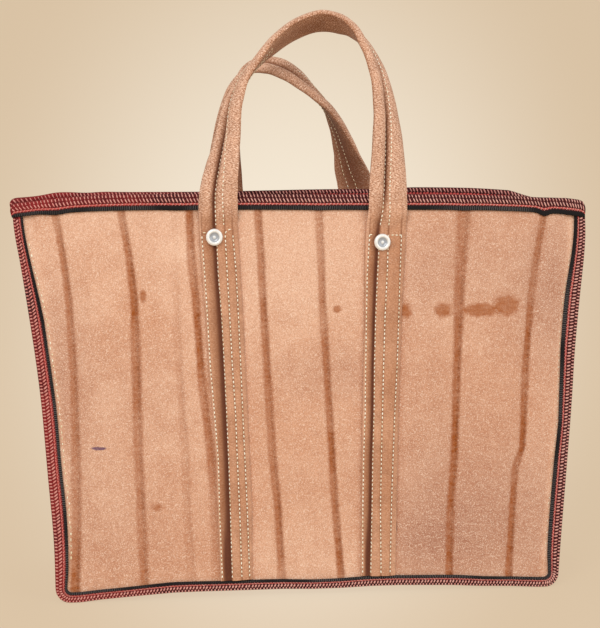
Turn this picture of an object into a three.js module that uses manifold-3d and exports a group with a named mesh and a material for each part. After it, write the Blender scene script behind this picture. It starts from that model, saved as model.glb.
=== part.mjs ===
// Leather shopping bag with braided binding and two sewn strap handles.
// Millimetres, +Z up. The front faces -Y, and the origin lies at floor level under the middle.

import * as THREE from "three";
import Module from "manifold-3d";

const wasm = await Module();
wasm.setup();

// Bag outline: the outer fold of the side binding, seen from the front
const SIDE_PROFILE = [
  { height: 0, left: 216, right: 216 },
  { height: 50, left: 217.3, right: 220.5 },
  { height: 105, left: 221.8, right: 225.8 },
  { height: 160, left: 226.3, right: 230.8 },
  { height: 200, left: 231, right: 233.8 },
  { height: 245, left: 237.6, right: 238.6 },
  { height: 280, left: 243.2, right: 242.8 },
  { height: 300, left: 246.8, right: 244.4 },
  { height: 318, left: 248.8, right: 244.3 },
  { height: 337, left: 249.2, right: 244.3 },
];
const RIM_HEIGHT = 337;
const FLOOR_HALF_WIDTH = 216;
const CORNER_RADIUS = 12;
const INNER_RADIUS = 5;
const RIM_DROOP = 8;
const RIM_SAGS = {
  front: [],
  back: [{ x: -95, depth: 2.6, reach: 90 }],
};
const RIM_CORNER_RADIUS = 7;

// Depth: how far the panels stand from the middle plane
const SEAM_OUT = { rim: 8, floor: 60 };
const RIM_BOW = 28;

// Leather, tape and the clearance between sewn layers
const LEATHER = 2;
const TAPE = 1.5;
const GAP = 0.4;
const TAPE_LEG = 12;
const FLOOR_LEG_SHARE = 0.92;
const RAW_EDGE = TAPE + 2 * GAP;
const RIM_OVERHANG = TAPE + GAP;
const LEVEL_TOP = { from: 230, to: 305 };
const TAPE_FACE = LEATHER / 2 + GAP + TAPE;
const GUSSET_LAYER = LEATHER + GAP;
const INNER_TAPE_FACE = GUSSET_LAYER + LEATHER / 2 + GAP + TAPE;

// Soft troughs in the panels: place across the panel at five heights, and depth
const CREASE_HEIGHTS = { rim: 320, high: 285, upper: 250, middle: 190, low: 120, base: 95, floor: 12 };
const CREASES = [
  { rim: -213, high: -207, upper: -202, middle: -199, low: -198, base: -198, floor: -198, depth: 0.9 },
  { rim: -159, high: -153, upper: -148, middle: -148, low: -149, base: -147, floor: -144, depth: 1.1 },
  { rim: -102, high: -99, upper: -97, middle: -94, low: -87, base: -85, floor: -82, depth: 0.9 },
  { rim: -46, high: -43, upper: -41, middle: -36, low: -31, base: -28, floor: -24, depth: 1.1 },
  { rim: 5, high: 7, upper: 9, middle: 14, low: 18, base: 20, floor: 25, depth: 1 },
  { rim: 131, high: 128, upper: 127, middle: 125, low: 123, base: 121, floor: 119, depth: 1.1 },
  { rim: 204, high: 198, upper: 195, middle: 189, low: 184, base: 178, floor: 172, depth: 1.2 },
];
const CREASE_WIDTH = 3.4;
const CREASE_FADE = 8;
const SEAM_FADE = { from: 3, to: 6.5 };
const PUFF = 1.2;
const PUFF_SPAN = 60;
const PUFF_RISE = 120;
const PUFF_TOP = { from: 285, to: 315 };
const RIM_WAVES = [
  { length: 260, height: 1.1, start: 40 },
  { length: 170, height: 0.5, start: -15 },
];
const RIM_DIP = 1.2;
const RIM_DIP_WIDTH = 7;

// Gusset: depth of the side fold, sag of the floor, and where one turns into the other
const FOLD_END_HALF_WIDTH = 10;
const FOLD_FADE = { from: 14, to: 70 };
const FOLD_SLANT = 0.35;
const SAG_START = 3;
const SAG_WIDTH = 22;
const FLOOR_STYLE = { side: 40, floor: 50 };
const GUSSET_CLEAR = 0.6;

// Straps: width and thickness where they are sewn down
const STRAP_WIDTH = 33;
const STRAP_FOOT_WIDTH = 31;
const STRAP_THICKNESS = 4.6;
const STRAP_END = TAPE_LEG * FLOOR_LEG_SHARE + 1.4;
const STRAP_MASK = { from: 6, to: 22 };
const STEP_OVER_TAPE = { from: 313, to: 321 };
const GROOVE_HALF = 2.2;
const GROOVE_DEPTH = 2.3;
const ROLLED_EDGE = 1.6;
const SEWN_HEIGHTS = [STRAP_END, 60, 120, 180, 240, 290, 306, 313, 317, 321, 329];

// Strap centre lines on each panel: place across the panel at the floor and at the rim, groove offset
const STRAPS = {
  front: {
    start: { floor: -65, rim: -80, groove: -3.5 },
    end: { floor: 57, rim: 63.5, groove: 3.5 },
  },
  back: {
    start: { floor: 57, rim: 51, groove: -3.5 },
    end: { floor: -65, rim: -67.5, groove: 3.5 },
  },
};

// Handle stations above the rim: centre, roll of the outer face inwards, width and thickness
const FRONT_HANDLE = [
  { x: -79.8, y: -41, z: 338.5, roll: 8, width: 31.5, thick: 5.4 },
  { x: -76.5, y: -37.5, z: 359, roll: 28, width: 29.5, thick: 6.6 },
  { x: -73, y: -31.5, z: 378, roll: 48, width: 28, thick: 7.6 },
  { x: -66.5, y: -21, z: 411, roll: 72, width: 28, thick: 8 },
  { x: -57.4, y: -14, z: 430, roll: 90, width: 28, thick: 7.6 },
  { x: -47, y: -11, z: 443, roll: 98, width: 29, thick: 7.4 },
  { x: -29, y: -7, z: 461.5, roll: 112, width: 30, thick: 7.4 },
  { x: -10.8, y: -5, z: 474, roll: 117, width: 31, thick: 7.4 },
  { x: 9, y: -5, z: 480.5, roll: 118, width: 31, thick: 7.4 },
  { x: 25.3, y: -8, z: 478, roll: 110, width: 31, thick: 7.4 },
  { x: 34.8, y: -11, z: 473, roll: 96, width: 30, thick: 7.6 },
  { x: 46.2, y: -15, z: 460, roll: 76, width: 30, thick: 7.4 },
  { x: 57.3, y: -22, z: 436, roll: 60, width: 31, thick: 7.2 },
  { x: 62.4, y: -30, z: 407, roll: 44, width: 31, thick: 7 },
  { x: 63.4, y: -36, z: 380, roll: 29, width: 32, thick: 6.6 },
  { x: 62.9, y: -41, z: 338.5, roll: 5, width: 33, thick: 5.4 },
];
const BACK_HANDLE = [
  { x: 50.3, y: 41.5, z: 338.5, roll: 8, width: 32, thick: 5.4 },
  { x: 45.5, y: 43, z: 352, roll: 32, width: 31, thick: 6.4 },
  { x: 40.8, y: 42, z: 369.5, roll: 58, width: 30, thick: 7 },
  { x: 32.7, y: 38, z: 390, roll: 76, width: 29, thick: 7 },
  { x: 22.8, y: 33, z: 406.5, roll: 91, width: 29, thick: 7.2 },
  { x: 8.6, y: 29, z: 420.5, roll: 97, width: 29, thick: 7.2 },
  { x: -5.6, y: 26, z: 433, roll: 107, width: 30, thick: 7 },
  { x: -19.3, y: 25, z: 441, roll: 109, width: 30, thick: 7 },
  { x: -36, y: 25, z: 444, roll: 101, width: 29, thick: 7 },
  { x: -50, y: 26, z: 439, roll: 88, width: 29, thick: 7 },
  { x: -62, y: 30, z: 421, roll: 70, width: 29, thick: 7 },
  { x: -67.8, y: 36, z: 390, roll: 48, width: 30, thick: 7 },
  { x: -68, y: 40, z: 366, roll: 28, width: 31, thick: 6.4 },
  { x: -67.5, y: 41.5, z: 338.5, roll: 6, width: 32, thick: 5.4 },
];
const HANDLE_STEPS_PER_ROW = 2.4;

// Rivets: height on each strap, and the cap's profile as radius and height
const RIVET_HEIGHTS = { front: { start: 302, end: 297.5 }, back: { start: 299, end: 301 } };
const RIVET_PROFILE = [
  { radius: 0, height: 0 },
  { radius: 6.8, height: 0 },
  { radius: 7, height: 0.9 },
  { radius: 5.8, height: 2.3 },
  { radius: 4.6, height: 2.2 },
  { radius: 3.8, height: 1.2 },
  { radius: 0, height: 1 },
];
const RIVET_SIDES = 16;

// Finishes
const SUEDE = new THREE.MeshStandardMaterial({ color: 0xd59a78, roughness: 0.95, metalness: 0 });
const STRAP_SUEDE = new THREE.MeshStandardMaterial({ color: 0xb87a55, roughness: 0.92, metalness: 0 });
const BRAID = new THREE.MeshStandardMaterial({ color: 0x7a2a2e, roughness: 0.85, metalness: 0 });
const WHITE_METAL = new THREE.MeshStandardMaterial({ color: 0xe6e6e2, roughness: 0.3, metalness: 0.8 });

const clamp01 = (t) => Math.min(1, Math.max(0, t));
const mix = (a, b, t) => a + (b - a) * t;

function smoothstep(from, to, value) {
  const t = clamp01((value - from) / (to - from));
  return t * t * (3 - 2 * t);
}

// Value of a table row at a height, straight between its named heights
function atHeight(row, heights, z) {
  const names = Object.keys(heights);
  for (let i = 1; i < names.length; i += 1) {
    const [above, below] = [names[i - 1], names[i]];
    if (z >= heights[below] || i === names.length - 1) {
      const t = clamp01((heights[above] - z) / (heights[above] - heights[below]));
      return mix(row[above], row[below], t);
    }
  }
  return row[names[0]];
}

// Value of a table at a height, as a smooth curve through its rows
function smoothAt(rows, key, z) {
  const last = rows.length - 2;
  const found = rows.findIndex((row, i) => i > 0 && z <= row.height) - 1;
  const i = found < 0 ? last : found;
  const slope = (k) => {
    const [below, above] = [rows[Math.max(0, k - 1)], rows[Math.min(last + 1, k + 1)]];
    return (above[key] - below[key]) / (above.height - below.height);
  };
  const step = rows[i + 1].height - rows[i].height;
  const t = clamp01((z - rows[i].height) / step);
  const ease = t * t * (3 - 2 * t);
  const leave = t * (1 - t) ** 2 * step * slope(i);
  const arrive = t ** 2 * (t - 1) * step * slope(i + 1);
  return mix(rows[i][key], rows[i + 1][key], ease) + leave + arrive;
}

// Outer fold of the side binding on the left (-1) or right (+1), at height z
function sideX(side, z) {
  return side * smoothAt(SIDE_PROFILE, side < 0 ? "left" : "right", z);
}

// Top of the rim binding without its rounded ends
function rimLine(name, x) {
  const middle = (sideX(1, RIM_HEIGHT) + sideX(-1, RIM_HEIGHT)) / 2;
  const half = (sideX(1, RIM_HEIGHT) - sideX(-1, RIM_HEIGHT)) / 2;
  let height = RIM_HEIGHT - RIM_DROOP * (Math.abs(x - middle) / half) ** 4;
  for (const sag of RIM_SAGS[name]) {
    height -= sag.depth * Math.exp(-(((x - sag.x) / sag.reach) ** 2));
  }
  return height;
}

// Top of the rim binding, rounded down at both ends
function rimTop(name, x) {
  const side = x < 0 ? -1 : 1;
  const end = Math.abs(sideX(side, RIM_HEIGHT - RIM_DROOP)) + RIM_OVERHANG;
  const past = clamp01((Math.abs(x) - (end - RIM_CORNER_RADIUS)) / RIM_CORNER_RADIUS);
  return rimLine(name, x) - RIM_CORNER_RADIUS * (1 - Math.sqrt(1 - past * past));
}

const creaseX = (crease, z) => atHeight(crease, CREASE_HEIGHTS, z);

// Strap centre line: place across the panel at height z
function strapX(strap, z) {
  return mix(strap.floor, strap.rim, clamp01(z / RIM_HEIGHT));
}

function strapHalfWidth(z) {
  return mix(STRAP_FOOT_WIDTH, STRAP_WIDTH, clamp01(z / RIM_HEIGHT)) / 2;
}

// Distance of the plain bowed panel from the middle plane, with slow waves towards the rim
function plainOut(x, z) {
  const share = clamp01(z / RIM_HEIGHT);
  const middle = (sideX(1, z) + sideX(-1, z)) / 2;
  const half = (sideX(1, z) - sideX(-1, z)) / 2;
  const across = clamp01(Math.abs(x - middle) / half);
  const bow = RIM_BOW * share * (1 - across ** 2);
  let wave = 0;
  for (const { length, height, start } of RIM_WAVES) {
    wave += height * Math.sin((2 * Math.PI * (x - start)) / length);
  }
  const level = mix(SEAM_OUT.floor, SEAM_OUT.rim, z / RIM_HEIGHT);
  return level + bow + wave * share ** 2 * (1 - across ** 2);
}

// Panels puff out a little between their creases, and lie flat under the straps and seams
function puff(name, x, z) {
  const edges = [sideX(-1, z) + TAPE_LEG + 2];
  edges.push(...CREASES.map((crease) => creaseX(crease, z)));
  edges.push(sideX(1, z) - TAPE_LEG - 2);
  const right = edges.findIndex((edge) => edge >= x);
  if (right < 1) return 0;
  const width = edges[right] - edges[right - 1];
  const share = (x - edges[right - 1]) / width;
  let height = PUFF * Math.min(1, width / PUFF_SPAN) * 4 * share * (1 - share);
  for (const strap of Object.values(STRAPS[name])) {
    const away = Math.abs(x - strapX(strap, z)) - strapHalfWidth(z);
    height *= smoothstep(STRAP_MASK.from, STRAP_MASK.to, away);
  }
  height *= 1 - smoothstep(PUFF_TOP.from, PUFF_TOP.to, z);
  return height * smoothstep(TAPE_LEG, PUFF_RISE, z);
}

function troughs(x, z) {
  let depth = 0;
  for (const crease of CREASES) {
    depth += crease.depth * Math.exp(-(((x - creaseX(crease, z)) / CREASE_WIDTH) ** 2));
  }
  const rimEdge = RIM_HEIGHT - RIM_DROOP - TAPE_LEG - 2;
  depth *= 1 - smoothstep(rimEdge - CREASE_FADE, rimEdge, z);
  depth *= smoothstep(TAPE_LEG + 2, TAPE_LEG + 2 + CREASE_FADE, z);
  const fromFold = Math.abs(sideX(x < 0 ? -1 : 1, z)) - Math.abs(x) - TAPE_LEG;
  return depth * smoothstep(SEAM_FADE.from, SEAM_FADE.to, fromFold);
}

const panelOut = (name, x, z) => plainOut(x, z) + puff(name, x, z) - troughs(x, z);

// Front is -1 and back is +1 along Y
const FACING = { front: -1, back: 1 };

// Closed solid from shared points and triangles, turned so that its faces point outwards
function solidGeometry(points, triangles) {
  let volume = 0;
  for (const [a, b, c] of triangles) {
    volume += points[a].dot(new THREE.Vector3().crossVectors(points[b], points[c]));
  }
  const turned = volume < 0 ? triangles.map(([a, b, c]) => [a, c, b]) : triangles;
  const geometry = new THREE.BufferGeometry();
  const flat = points.flatMap((p) => [p.x, p.y, p.z]);
  geometry.setAttribute("position", new THREE.Float32BufferAttribute(flat, 3));
  geometry.setIndex(turned.flat());
  return geometry;
}

// Sheet with a thickness, from the two faces of a grid of rows
function sheetGeometry(faceA, faceB) {
  const rows = faceA.length;
  const columns = faceA[0].length;
  const points = [...faceA.flat(), ...faceB.flat()];
  const second = rows * columns;
  const at = (i, j) => i * columns + j;
  const triangles = [];
  const quad = (a, b, c, d) => triangles.push([a, b, c], [a, c, d]);
  for (let i = 0; i + 1 < rows; i += 1) {
    for (let j = 0; j + 1 < columns; j += 1) {
      quad(at(i, j), at(i + 1, j), at(i + 1, j + 1), at(i, j + 1));
      quad(
        second + at(i, j), second + at(i, j + 1),
        second + at(i + 1, j + 1), second + at(i + 1, j),
      );
    }
  }
  const last = { i: rows - 1, j: columns - 1 };
  for (let j = 0; j < last.j; j += 1) {
    quad(at(0, j), at(0, j + 1), second + at(0, j + 1), second + at(0, j));
    quad(at(last.i, j + 1), at(last.i, j), second + at(last.i, j), second + at(last.i, j + 1));
  }
  for (let i = 0; i < last.i; i += 1) {
    quad(at(i + 1, 0), at(i, 0), second + at(i, 0), second + at(i + 1, 0));
    quad(at(i, last.j), at(i + 1, last.j), second + at(i + 1, last.j), second + at(i, last.j));
  }
  return solidGeometry(points, triangles);
}

// Bar through a row of closed sections with the same number of points, with flat ends
function sectionGeometry(sections, outline) {
  const count = outline.length;
  const points = sections.flat();
  const triangles = [];
  for (let i = 0; i + 1 < sections.length; i += 1) {
    for (let j = 0; j < count; j += 1) {
      const next = (j + 1) % count;
      const [a, b] = [i * count + j, i * count + next];
      triangles.push([a, b, b + count], [a, b + count, a + count]);
    }
  }
  const clockwise = THREE.ShapeUtils.isClockWise(outline);
  const contour = clockwise ? [...outline].reverse() : outline;
  const end = (sections.length - 1) * count;
  for (const face of THREE.ShapeUtils.triangulateShape(contour, [])) {
    const [a, b, c] = clockwise ? face.map((k) => count - 1 - k).reverse() : face;
    triangles.push([a, c, b], [end + a, end + b, end + c]);
  }
  return solidGeometry(points, triangles);
}

function toManifold(geometry) {
  const vertProperties = new Float32Array(geometry.getAttribute("position").array);
  const triVerts = new Uint32Array(geometry.getIndex().array);
  return new wasm.Manifold(new wasm.Mesh({ numProp: 3, vertProperties, triVerts }));
}

function fromManifold(solid) {
  const { vertProperties, triVerts } = solid.getMesh();
  const geometry = new THREE.BufferGeometry();
  geometry.setAttribute("position", new THREE.Float32BufferAttribute(vertProperties, 3));
  geometry.setIndex(new THREE.Uint32BufferAttribute(triVerts, 1));
  return geometry;
}

// Raw edge of a panel at height z, inside the binding and round the lower corner
function rawEdgeX(side, z) {
  const outer = side * sideX(side, z);
  if (z >= CORNER_RADIUS) return side * (outer - RAW_EDGE);
  const radius = CORNER_RADIUS - RAW_EDGE;
  const drop = Math.min(radius, CORNER_RADIUS - z);
  return side * (outer - CORNER_RADIUS + Math.sqrt(radius ** 2 - drop ** 2));
}

const PANEL_ROWS = [RAW_EDGE, 3.4, 7, CORNER_RADIUS, 20, 58, 95, 120, 155, 190, 250, 285, 312, 322];
const TOP_ROW = RIM_HEIGHT - RAW_EDGE;
const COLUMN_PITCH = 18;

// Columns of a panel at height z: both edges, each crease with its flanks, and a few between
function panelColumns(z, flanks) {
  const marks = CREASES.map((crease) => ({
    centre: creaseX(crease, z),
    rim: crease.rim,
  }));
  const columns = [rawEdgeX(-1, z), sideX(-1, z) + TAPE_LEG + 2];
  const flank = flanks.at(-1) ?? 0;
  let lastX = columns[1];
  let lastRim = sideX(-1, RIM_HEIGHT) + TAPE_LEG + 2;
  const fill = (x, rim) => {
    const count = Math.max(1, Math.round((rim - lastRim) / COLUMN_PITCH));
    for (let k = 1; k < count; k += 1) columns.push(mix(lastX, x, k / count));
  };
  for (const { centre, rim } of marks) {
    const before = lastX;
    const left = (step) => Math.max(centre - step, mix(before, centre, 1 - step / (flank + 2)));
    fill(left(flank), rim - flank);
    columns.push(...[...flanks].reverse().map(left), centre);
    columns.push(...flanks.map((step) => centre + step));
    lastX = centre + flank;
    lastRim = rim + flank;
  }
  const rightMark = sideX(1, z) - TAPE_LEG - 2;
  fill(rightMark, sideX(1, RIM_HEIGHT) - TAPE_LEG - 2);
  columns.push(rightMark, rawEdgeX(1, z));
  return columns;
}

// Actual height of a panel row at x: the top rows follow the rim
function rowHeight(name, nominal, x) {
  return nominal + (rimTop(name, x) - RAW_EDGE - TOP_ROW) * smoothstep(230, TOP_ROW, nominal);
}

function panelGeometry(name, flanks) {
  const facing = FACING[name];
  const columnCount = panelColumns(TOP_ROW, flanks).length;
  const grid = [...PANEL_ROWS, TOP_ROW].map((nominal) =>
    Array.from({ length: columnCount }, (_, j) => {
      let z = nominal;
      let x = 0;
      for (let pass = 0; pass < 4; pass += 1) {
        x = panelColumns(z, flanks)[j];
        z = rowHeight(name, nominal, x);
      }
      return new THREE.Vector3(x, facing * panelOut(name, x, z), z);
    }),
  );
  const moved = (by) =>
    grid.map((row) => row.map((p) => p.clone().setY(p.y + facing * by)));
  return sheetGeometry(moved(LEATHER / 2), moved(-LEATHER / 2));
}

const SIDE_HEIGHTS = [300, 275, 250, 220, 190, 160, 130, 100, 70, 42, 21];

// Stations round the seam of a panel: outer fold of the binding, and one millimetre inwards
function seamStations(topOf) {
  const stations = [];
  const side = (which, z) => {
    const slope = (sideX(which, z + 1) - sideX(which, z - 1)) / 2;
    const level = 1 - smoothstep(LEVEL_TOP.from, LEVEL_TOP.to, z);
    const inward = new THREE.Vector2(-which, which * slope * level).normalize();
    return { fold: new THREE.Vector2(sideX(which, z), z), inward };
  };
  const sideStations = (which) => [topOf(which), ...SIDE_HEIGHTS].map((z) => side(which, z));
  const corner = (which) => {
    const centre = new THREE.Vector2(
      sideX(which, CORNER_RADIUS) - which * CORNER_RADIUS, CORNER_RADIUS,
    );
    const far = CORNER_RADIUS + INNER_RADIUS;
    return Array.from({ length: 6 }, (_, k) => {
      const angle = (k / 5) * (Math.PI / 2);
      const ray = new THREE.Vector2(which * Math.cos(angle), -Math.sin(angle));
      const fold = centre.clone().addScaledVector(ray, CORNER_RADIUS);
      const pivot = new THREE.Vector2(
        sideX(which, CORNER_RADIUS) - which * far, far,
      );
      const inside = pivot.clone().addScaledVector(ray, INNER_RADIUS);
      const inward = inside.sub(fold).divideScalar(TAPE_LEG);
      inward.y *= mix(1, FLOOR_LEG_SHARE, k / 5);
      return { fold, inward };
    });
  };
  const floorHalf = FLOOR_HALF_WIDTH - CORNER_RADIUS;
  const floorXs = [-0.94, -0.84, -0.68, -0.46, -0.23, 0, 0.23, 0.46, 0.68, 0.84, 0.94];
  stations.push(...sideStations(-1), ...corner(-1));
  for (const share of floorXs) {
    stations.push({
      fold: new THREE.Vector2(share * floorHalf, 0),
      inward: new THREE.Vector2(0, FLOOR_LEG_SHARE),
    });
  }
  stations.push(...corner(1).reverse(), ...sideStations(1).reverse());
  return stations;
}

// Point at a depth inwards from the fold, at a distance out from the panel's middle
function seamPoint(name, station, depth, out) {
  const { x, y: z } = station.fold.clone().addScaledVector(station.inward, depth);
  return new THREE.Vector3(x, FACING[name] * (plainOut(x, z) + out), z);
}

// Hairpin of the folded tape: depth from the fold, and distance out from the panel's middle
const HAIRPIN = [
  { depth: TAPE_LEG, out: TAPE_FACE },
  { depth: 3, out: TAPE_FACE },
  { depth: 0.8, out: TAPE_FACE - 0.7 },
  { depth: 0, out: TAPE_FACE - 2.4 },
  { depth: 0, out: 2.4 - INNER_TAPE_FACE },
  { depth: 0.8, out: 0.7 - INNER_TAPE_FACE },
  { depth: 3, out: -INNER_TAPE_FACE },
  { depth: TAPE_LEG, out: -INNER_TAPE_FACE },
  { depth: TAPE_LEG, out: TAPE - INNER_TAPE_FACE },
  { depth: TAPE, out: TAPE - INNER_TAPE_FACE },
  { depth: TAPE, out: TAPE_FACE - TAPE },
  { depth: TAPE_LEG, out: TAPE_FACE - TAPE },
];

function seamBindingGeometry(name) {
  const top = (which) => rimTop(name, sideX(which, RIM_HEIGHT - RIM_DROOP)) - 2 * TAPE;
  const sections = seamStations(top).map((station) =>
    HAIRPIN.map(({ depth, out }) => seamPoint(name, station, depth, out)),
  );
  const outline = HAIRPIN.map(({ depth, out }) => new THREE.Vector2(depth, out));
  return sectionGeometry(sections, outline);
}

// Lower edge of the rim tape, dipping a little at each crease
function rimLow(name, x) {
  let dip = 0;
  for (const crease of CREASES) {
    dip += RIM_DIP * Math.exp(-(((x - crease.rim) / RIM_DIP_WIDTH) ** 2));
  }
  return rimLine(name, x) - TAPE_LEG - dip;
}

// The rim tape widens at both ends to go over the side bindings
function rimSwell(x) {
  const side = x < 0 ? -1 : 1;
  const fromFold = Math.abs(sideX(side, RIM_HEIGHT - RIM_DROOP)) - Math.abs(x);
  return 1 - smoothstep(TAPE_LEG + 3, TAPE_LEG + 11, fromFold);
}

function rimBindingGeometry(name) {
  const facing = FACING[name];
  const ends = [-1, 1].map((side) => sideX(side, RIM_HEIGHT - RIM_DROOP));
  const inner = panelColumns(TOP_ROW, [RIM_DIP_WIDTH]).slice(1, -1);
  const corner = [1, 3.6, 7.2, TAPE_LEG + 3, TAPE_LEG + 11];
  const stationsTo = (overhang) => [
    ends[0] - overhang,
    ends[0] - overhang + 0.4,
    ...corner.map((step) => ends[0] + step),
    ...inner.filter((x) => x > ends[0] + 26 && x < ends[1] - 26),
    ...[...corner].reverse().map((step) => ends[1] - step),
    ends[1] + overhang - 0.4,
    ends[1] + overhang,
  ];
  const faceOut = (x) => mix(TAPE_FACE, TAPE_FACE + GAP + TAPE, rimSwell(x));
  const backOut = (x) => mix(TAPE_FACE, INNER_TAPE_FACE + GAP + TAPE, rimSwell(x));
  const place = (x, z, out) =>
    new THREE.Vector3(x, facing * (plainOut(x, z) + puff(name, x, z) + out), z);
  const outerAt = (x) => {
    const top = rimTop(name, x);
    const low = Math.min(rimLow(name, x), top - 3);
    return [
      place(x, low, faceOut(x)),
      place(x, top - 0.7, faceOut(x) - 0.8),
      place(x, top, faceOut(x) - 1.8),
      place(x, top, 1.8 - backOut(x)),
      place(x, top - 0.7, 0.8 - backOut(x)),
      place(x, low, -backOut(x)),
    ];
  };
  const cavityAt = (x) => {
    const top = rimTop(name, x) - TAPE;
    const low = Math.min(rimLow(name, x), top + TAPE - 3) - 3;
    return [
      place(x, low, faceOut(x) - TAPE),
      place(x, top, faceOut(x) - TAPE),
      place(x, top, TAPE - backOut(x)),
      place(x, low, TAPE - backOut(x)),
    ];
  };
  const flat = (section) => section.map((p) => new THREE.Vector2(p.y, p.z));
  const bar = stationsTo(RIM_OVERHANG).map(outerAt);
  const cavity = stationsTo(GAP).map(cavityAt);
  const solid = toManifold(sectionGeometry(bar, flat(bar[9])));
  return fromManifold(solid.subtract(toManifold(sectionGeometry(cavity, flat(cavity[9])))));
}

// Gusset section: shares of the way from the seam to the middle of the strip
const GUSSET_SHARES = [0, 0.05, 0.11, 0.19, 0.3, 0.46, 0.7, 1];
const FLANGE_DEPTHS = [RAW_EDGE, 6.5];

// One side of the strip's section at a seam station, from the raw edge to the middle line
function gussetHalf(name, station) {
  const seamDepth = TAPE_LEG + GAP + LEATHER / 2;
  const points = FLANGE_DEPTHS.map((depth) => seamPoint(name, station, depth, -GUSSET_LAYER));
  const seam = seamPoint(name, station, seamDepth, -GUSSET_LAYER);
  const seamOut = Math.abs(seam.y);
  const height = station.fold.y;
  const onSide = smoothstep(FOLD_FADE.from, FOLD_FADE.to, height);
  const floorShare =
    height > CORNER_RADIUS
      ? 1 - smoothstep(CORNER_RADIUS, FLOOR_STYLE.side, height)
      : 1;
  const halfCut = SEAM_OUT.floor - GUSSET_LAYER;
  const fold = onSide * Math.sqrt(Math.max(0, (halfCut ** 2 - seamOut ** 2) * 0.85));
  const endHalf = Math.max(seamOut, FOLD_END_HALF_WIDTH);
  const sagDepth = seamDepth - LEATHER / 2 / Math.max(station.inward.y, 0.4);
  for (const share of GUSSET_SHARES) {
    const turn = (share * Math.PI) / 2;
    const width = mix(seamOut, endHalf, Math.sin(turn) ** 2);
    const roundOut = width * mix(Math.cos(turn), 1 - share, FOLD_SLANT);
    const flatOut = seamOut * (1 - share);
    const inwards = seamOut * share;
    const sag = sagDepth * smoothstep(SAG_START, SAG_START + SAG_WIDTH, inwards);
    const out = mix(roundOut, flatOut, floorShare);
    const depth = seamDepth + mix(fold * Math.sin(turn), -sag, floorShare);
    const { x, y: z } = station.fold.clone().addScaledVector(station.inward, depth);
    points.push(new THREE.Vector3(x, FACING[name] * out, z));
  }
  return points;
}

// Points of a grid moved along its own normals, keeping the thickness in folds
function offsetGrid(grid, distance) {
  const cell = (i, j) => {
    const [a, b, c, d] = [grid[i][j], grid[i + 1][j], grid[i + 1][j + 1], grid[i][j + 1]];
    const across = new THREE.Vector3().subVectors(c, a);
    const down = new THREE.Vector3().subVectors(d, b);
    return across.cross(down).normalize();
  };
  return grid.map((row, i) =>
    row.map((point, j) => {
      const around = [];
      for (const [di, dj] of [[-1, -1], [-1, 0], [0, -1], [0, 0]]) {
        const [ci, cj] = [i + di, j + dj];
        if (ci >= 0 && cj >= 0 && ci + 1 < grid.length && cj + 1 < row.length) {
          around.push(cell(ci, cj));
        }
      }
      const normal = around.reduce((sum, n) => sum.add(n), new THREE.Vector3()).normalize();
      const lean = around.reduce((sum, n) => sum + n.dot(normal), 0) / around.length;
      return point.clone().addScaledVector(normal, distance / Math.max(lean, 0.6));
    }),
  );
}

function gussetGeometry() {
  const top = (which) => rimLow("back", sideX(which, RIM_HEIGHT - RIM_DROOP)) - GUSSET_CLEAR;
  const grid = seamStations(top).map((station) => {
    const front = gussetHalf("front", station);
    const back = gussetHalf("back", station).reverse();
    return [...front, ...back.slice(1)];
  });
  return sheetGeometry(offsetGrid(grid, LEATHER / 2), offsetGrid(grid, -LEATHER / 2));
}

// Strap section: place across the strap and distance out from its middle
function strapOutline(width, thick, groove) {
  const half = width / 2;
  return [
    [-half, -0.05 * thick],
    [ROLLED_EDGE - half, 0.36 * thick],
    [-0.62 * half, 0.5 * thick],
    [groove - GROOVE_HALF, 0.46 * thick],
    [groove, 0.5 * thick - GROOVE_DEPTH],
    [groove + GROOVE_HALF, 0.46 * thick],
    [0.62 * half, 0.5 * thick],
    [half - ROLLED_EDGE, 0.36 * thick],
    [half, -0.05 * thick],
    [half - ROLLED_EDGE, -0.5 * thick],
    [0, -0.5 * thick],
    [ROLLED_EDGE - half, -0.5 * thick],
  ].map(([across, out]) => new THREE.Vector2(across, out));
}

// Centre, outward normal and section of a strap where it is sewn to its panel
function sewnStation(name, strap, z) {
  const x = strapX(strap, z);
  const thick = STRAP_THICKNESS;
  const step = smoothstep(STEP_OVER_TAPE.from, STEP_OVER_TAPE.to, z) * (TAPE + GAP);
  const out = plainOut(x, z) + LEATHER / 2 + GAP + step + thick / 2;
  const slope = (plainOut(x + 1, z) - plainOut(x - 1, z)) / 2;
  return {
    centre: new THREE.Vector3(x, FACING[name] * out, z),
    normal: new THREE.Vector3(-slope, FACING[name], 0).normalize(),
    width: 2 * strapHalfWidth(z),
    thick,
    groove: strap.groove,
  };
}

// Stations of the free handle, smooth through its table
function handleStations(name, table) {
  const { start, end } = STRAPS[name];
  const curve = new THREE.CatmullRomCurve3(
    table.map(({ x, y, z }) => new THREE.Vector3(x, y, z)), false, "centripetal",
  );
  const steps = Math.round((table.length - 1) * HANDLE_STEPS_PER_ROW);
  return Array.from({ length: steps + 1 }, (_, k) => {
    const along = (k / steps) * (table.length - 1);
    const row = Math.min(table.length - 2, Math.floor(along));
    const share = smoothstep(0, 1, along - row) * 0.4 + (along - row) * 0.6;
    const column = (key) => mix(table[row][key], table[row + 1][key], share);
    const tangent = curve.getTangent(k / steps);
    const facing = new THREE.Vector3(0, FACING[name], 0);
    facing.addScaledVector(tangent, -facing.dot(tangent)).normalize();
    const inward = new THREE.Vector3().crossVectors(tangent, facing);
    const roll = THREE.MathUtils.degToRad(column("roll"));
    const normal = facing.multiplyScalar(Math.cos(roll)).addScaledVector(inward, -Math.sin(roll));
    return {
      centre: curve.getPoint(k / steps),
      normal,
      width: column("width"),
      thick: column("thick"),
      groove: mix(start.groove, end.groove, k / steps),
    };
  });
}

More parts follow.
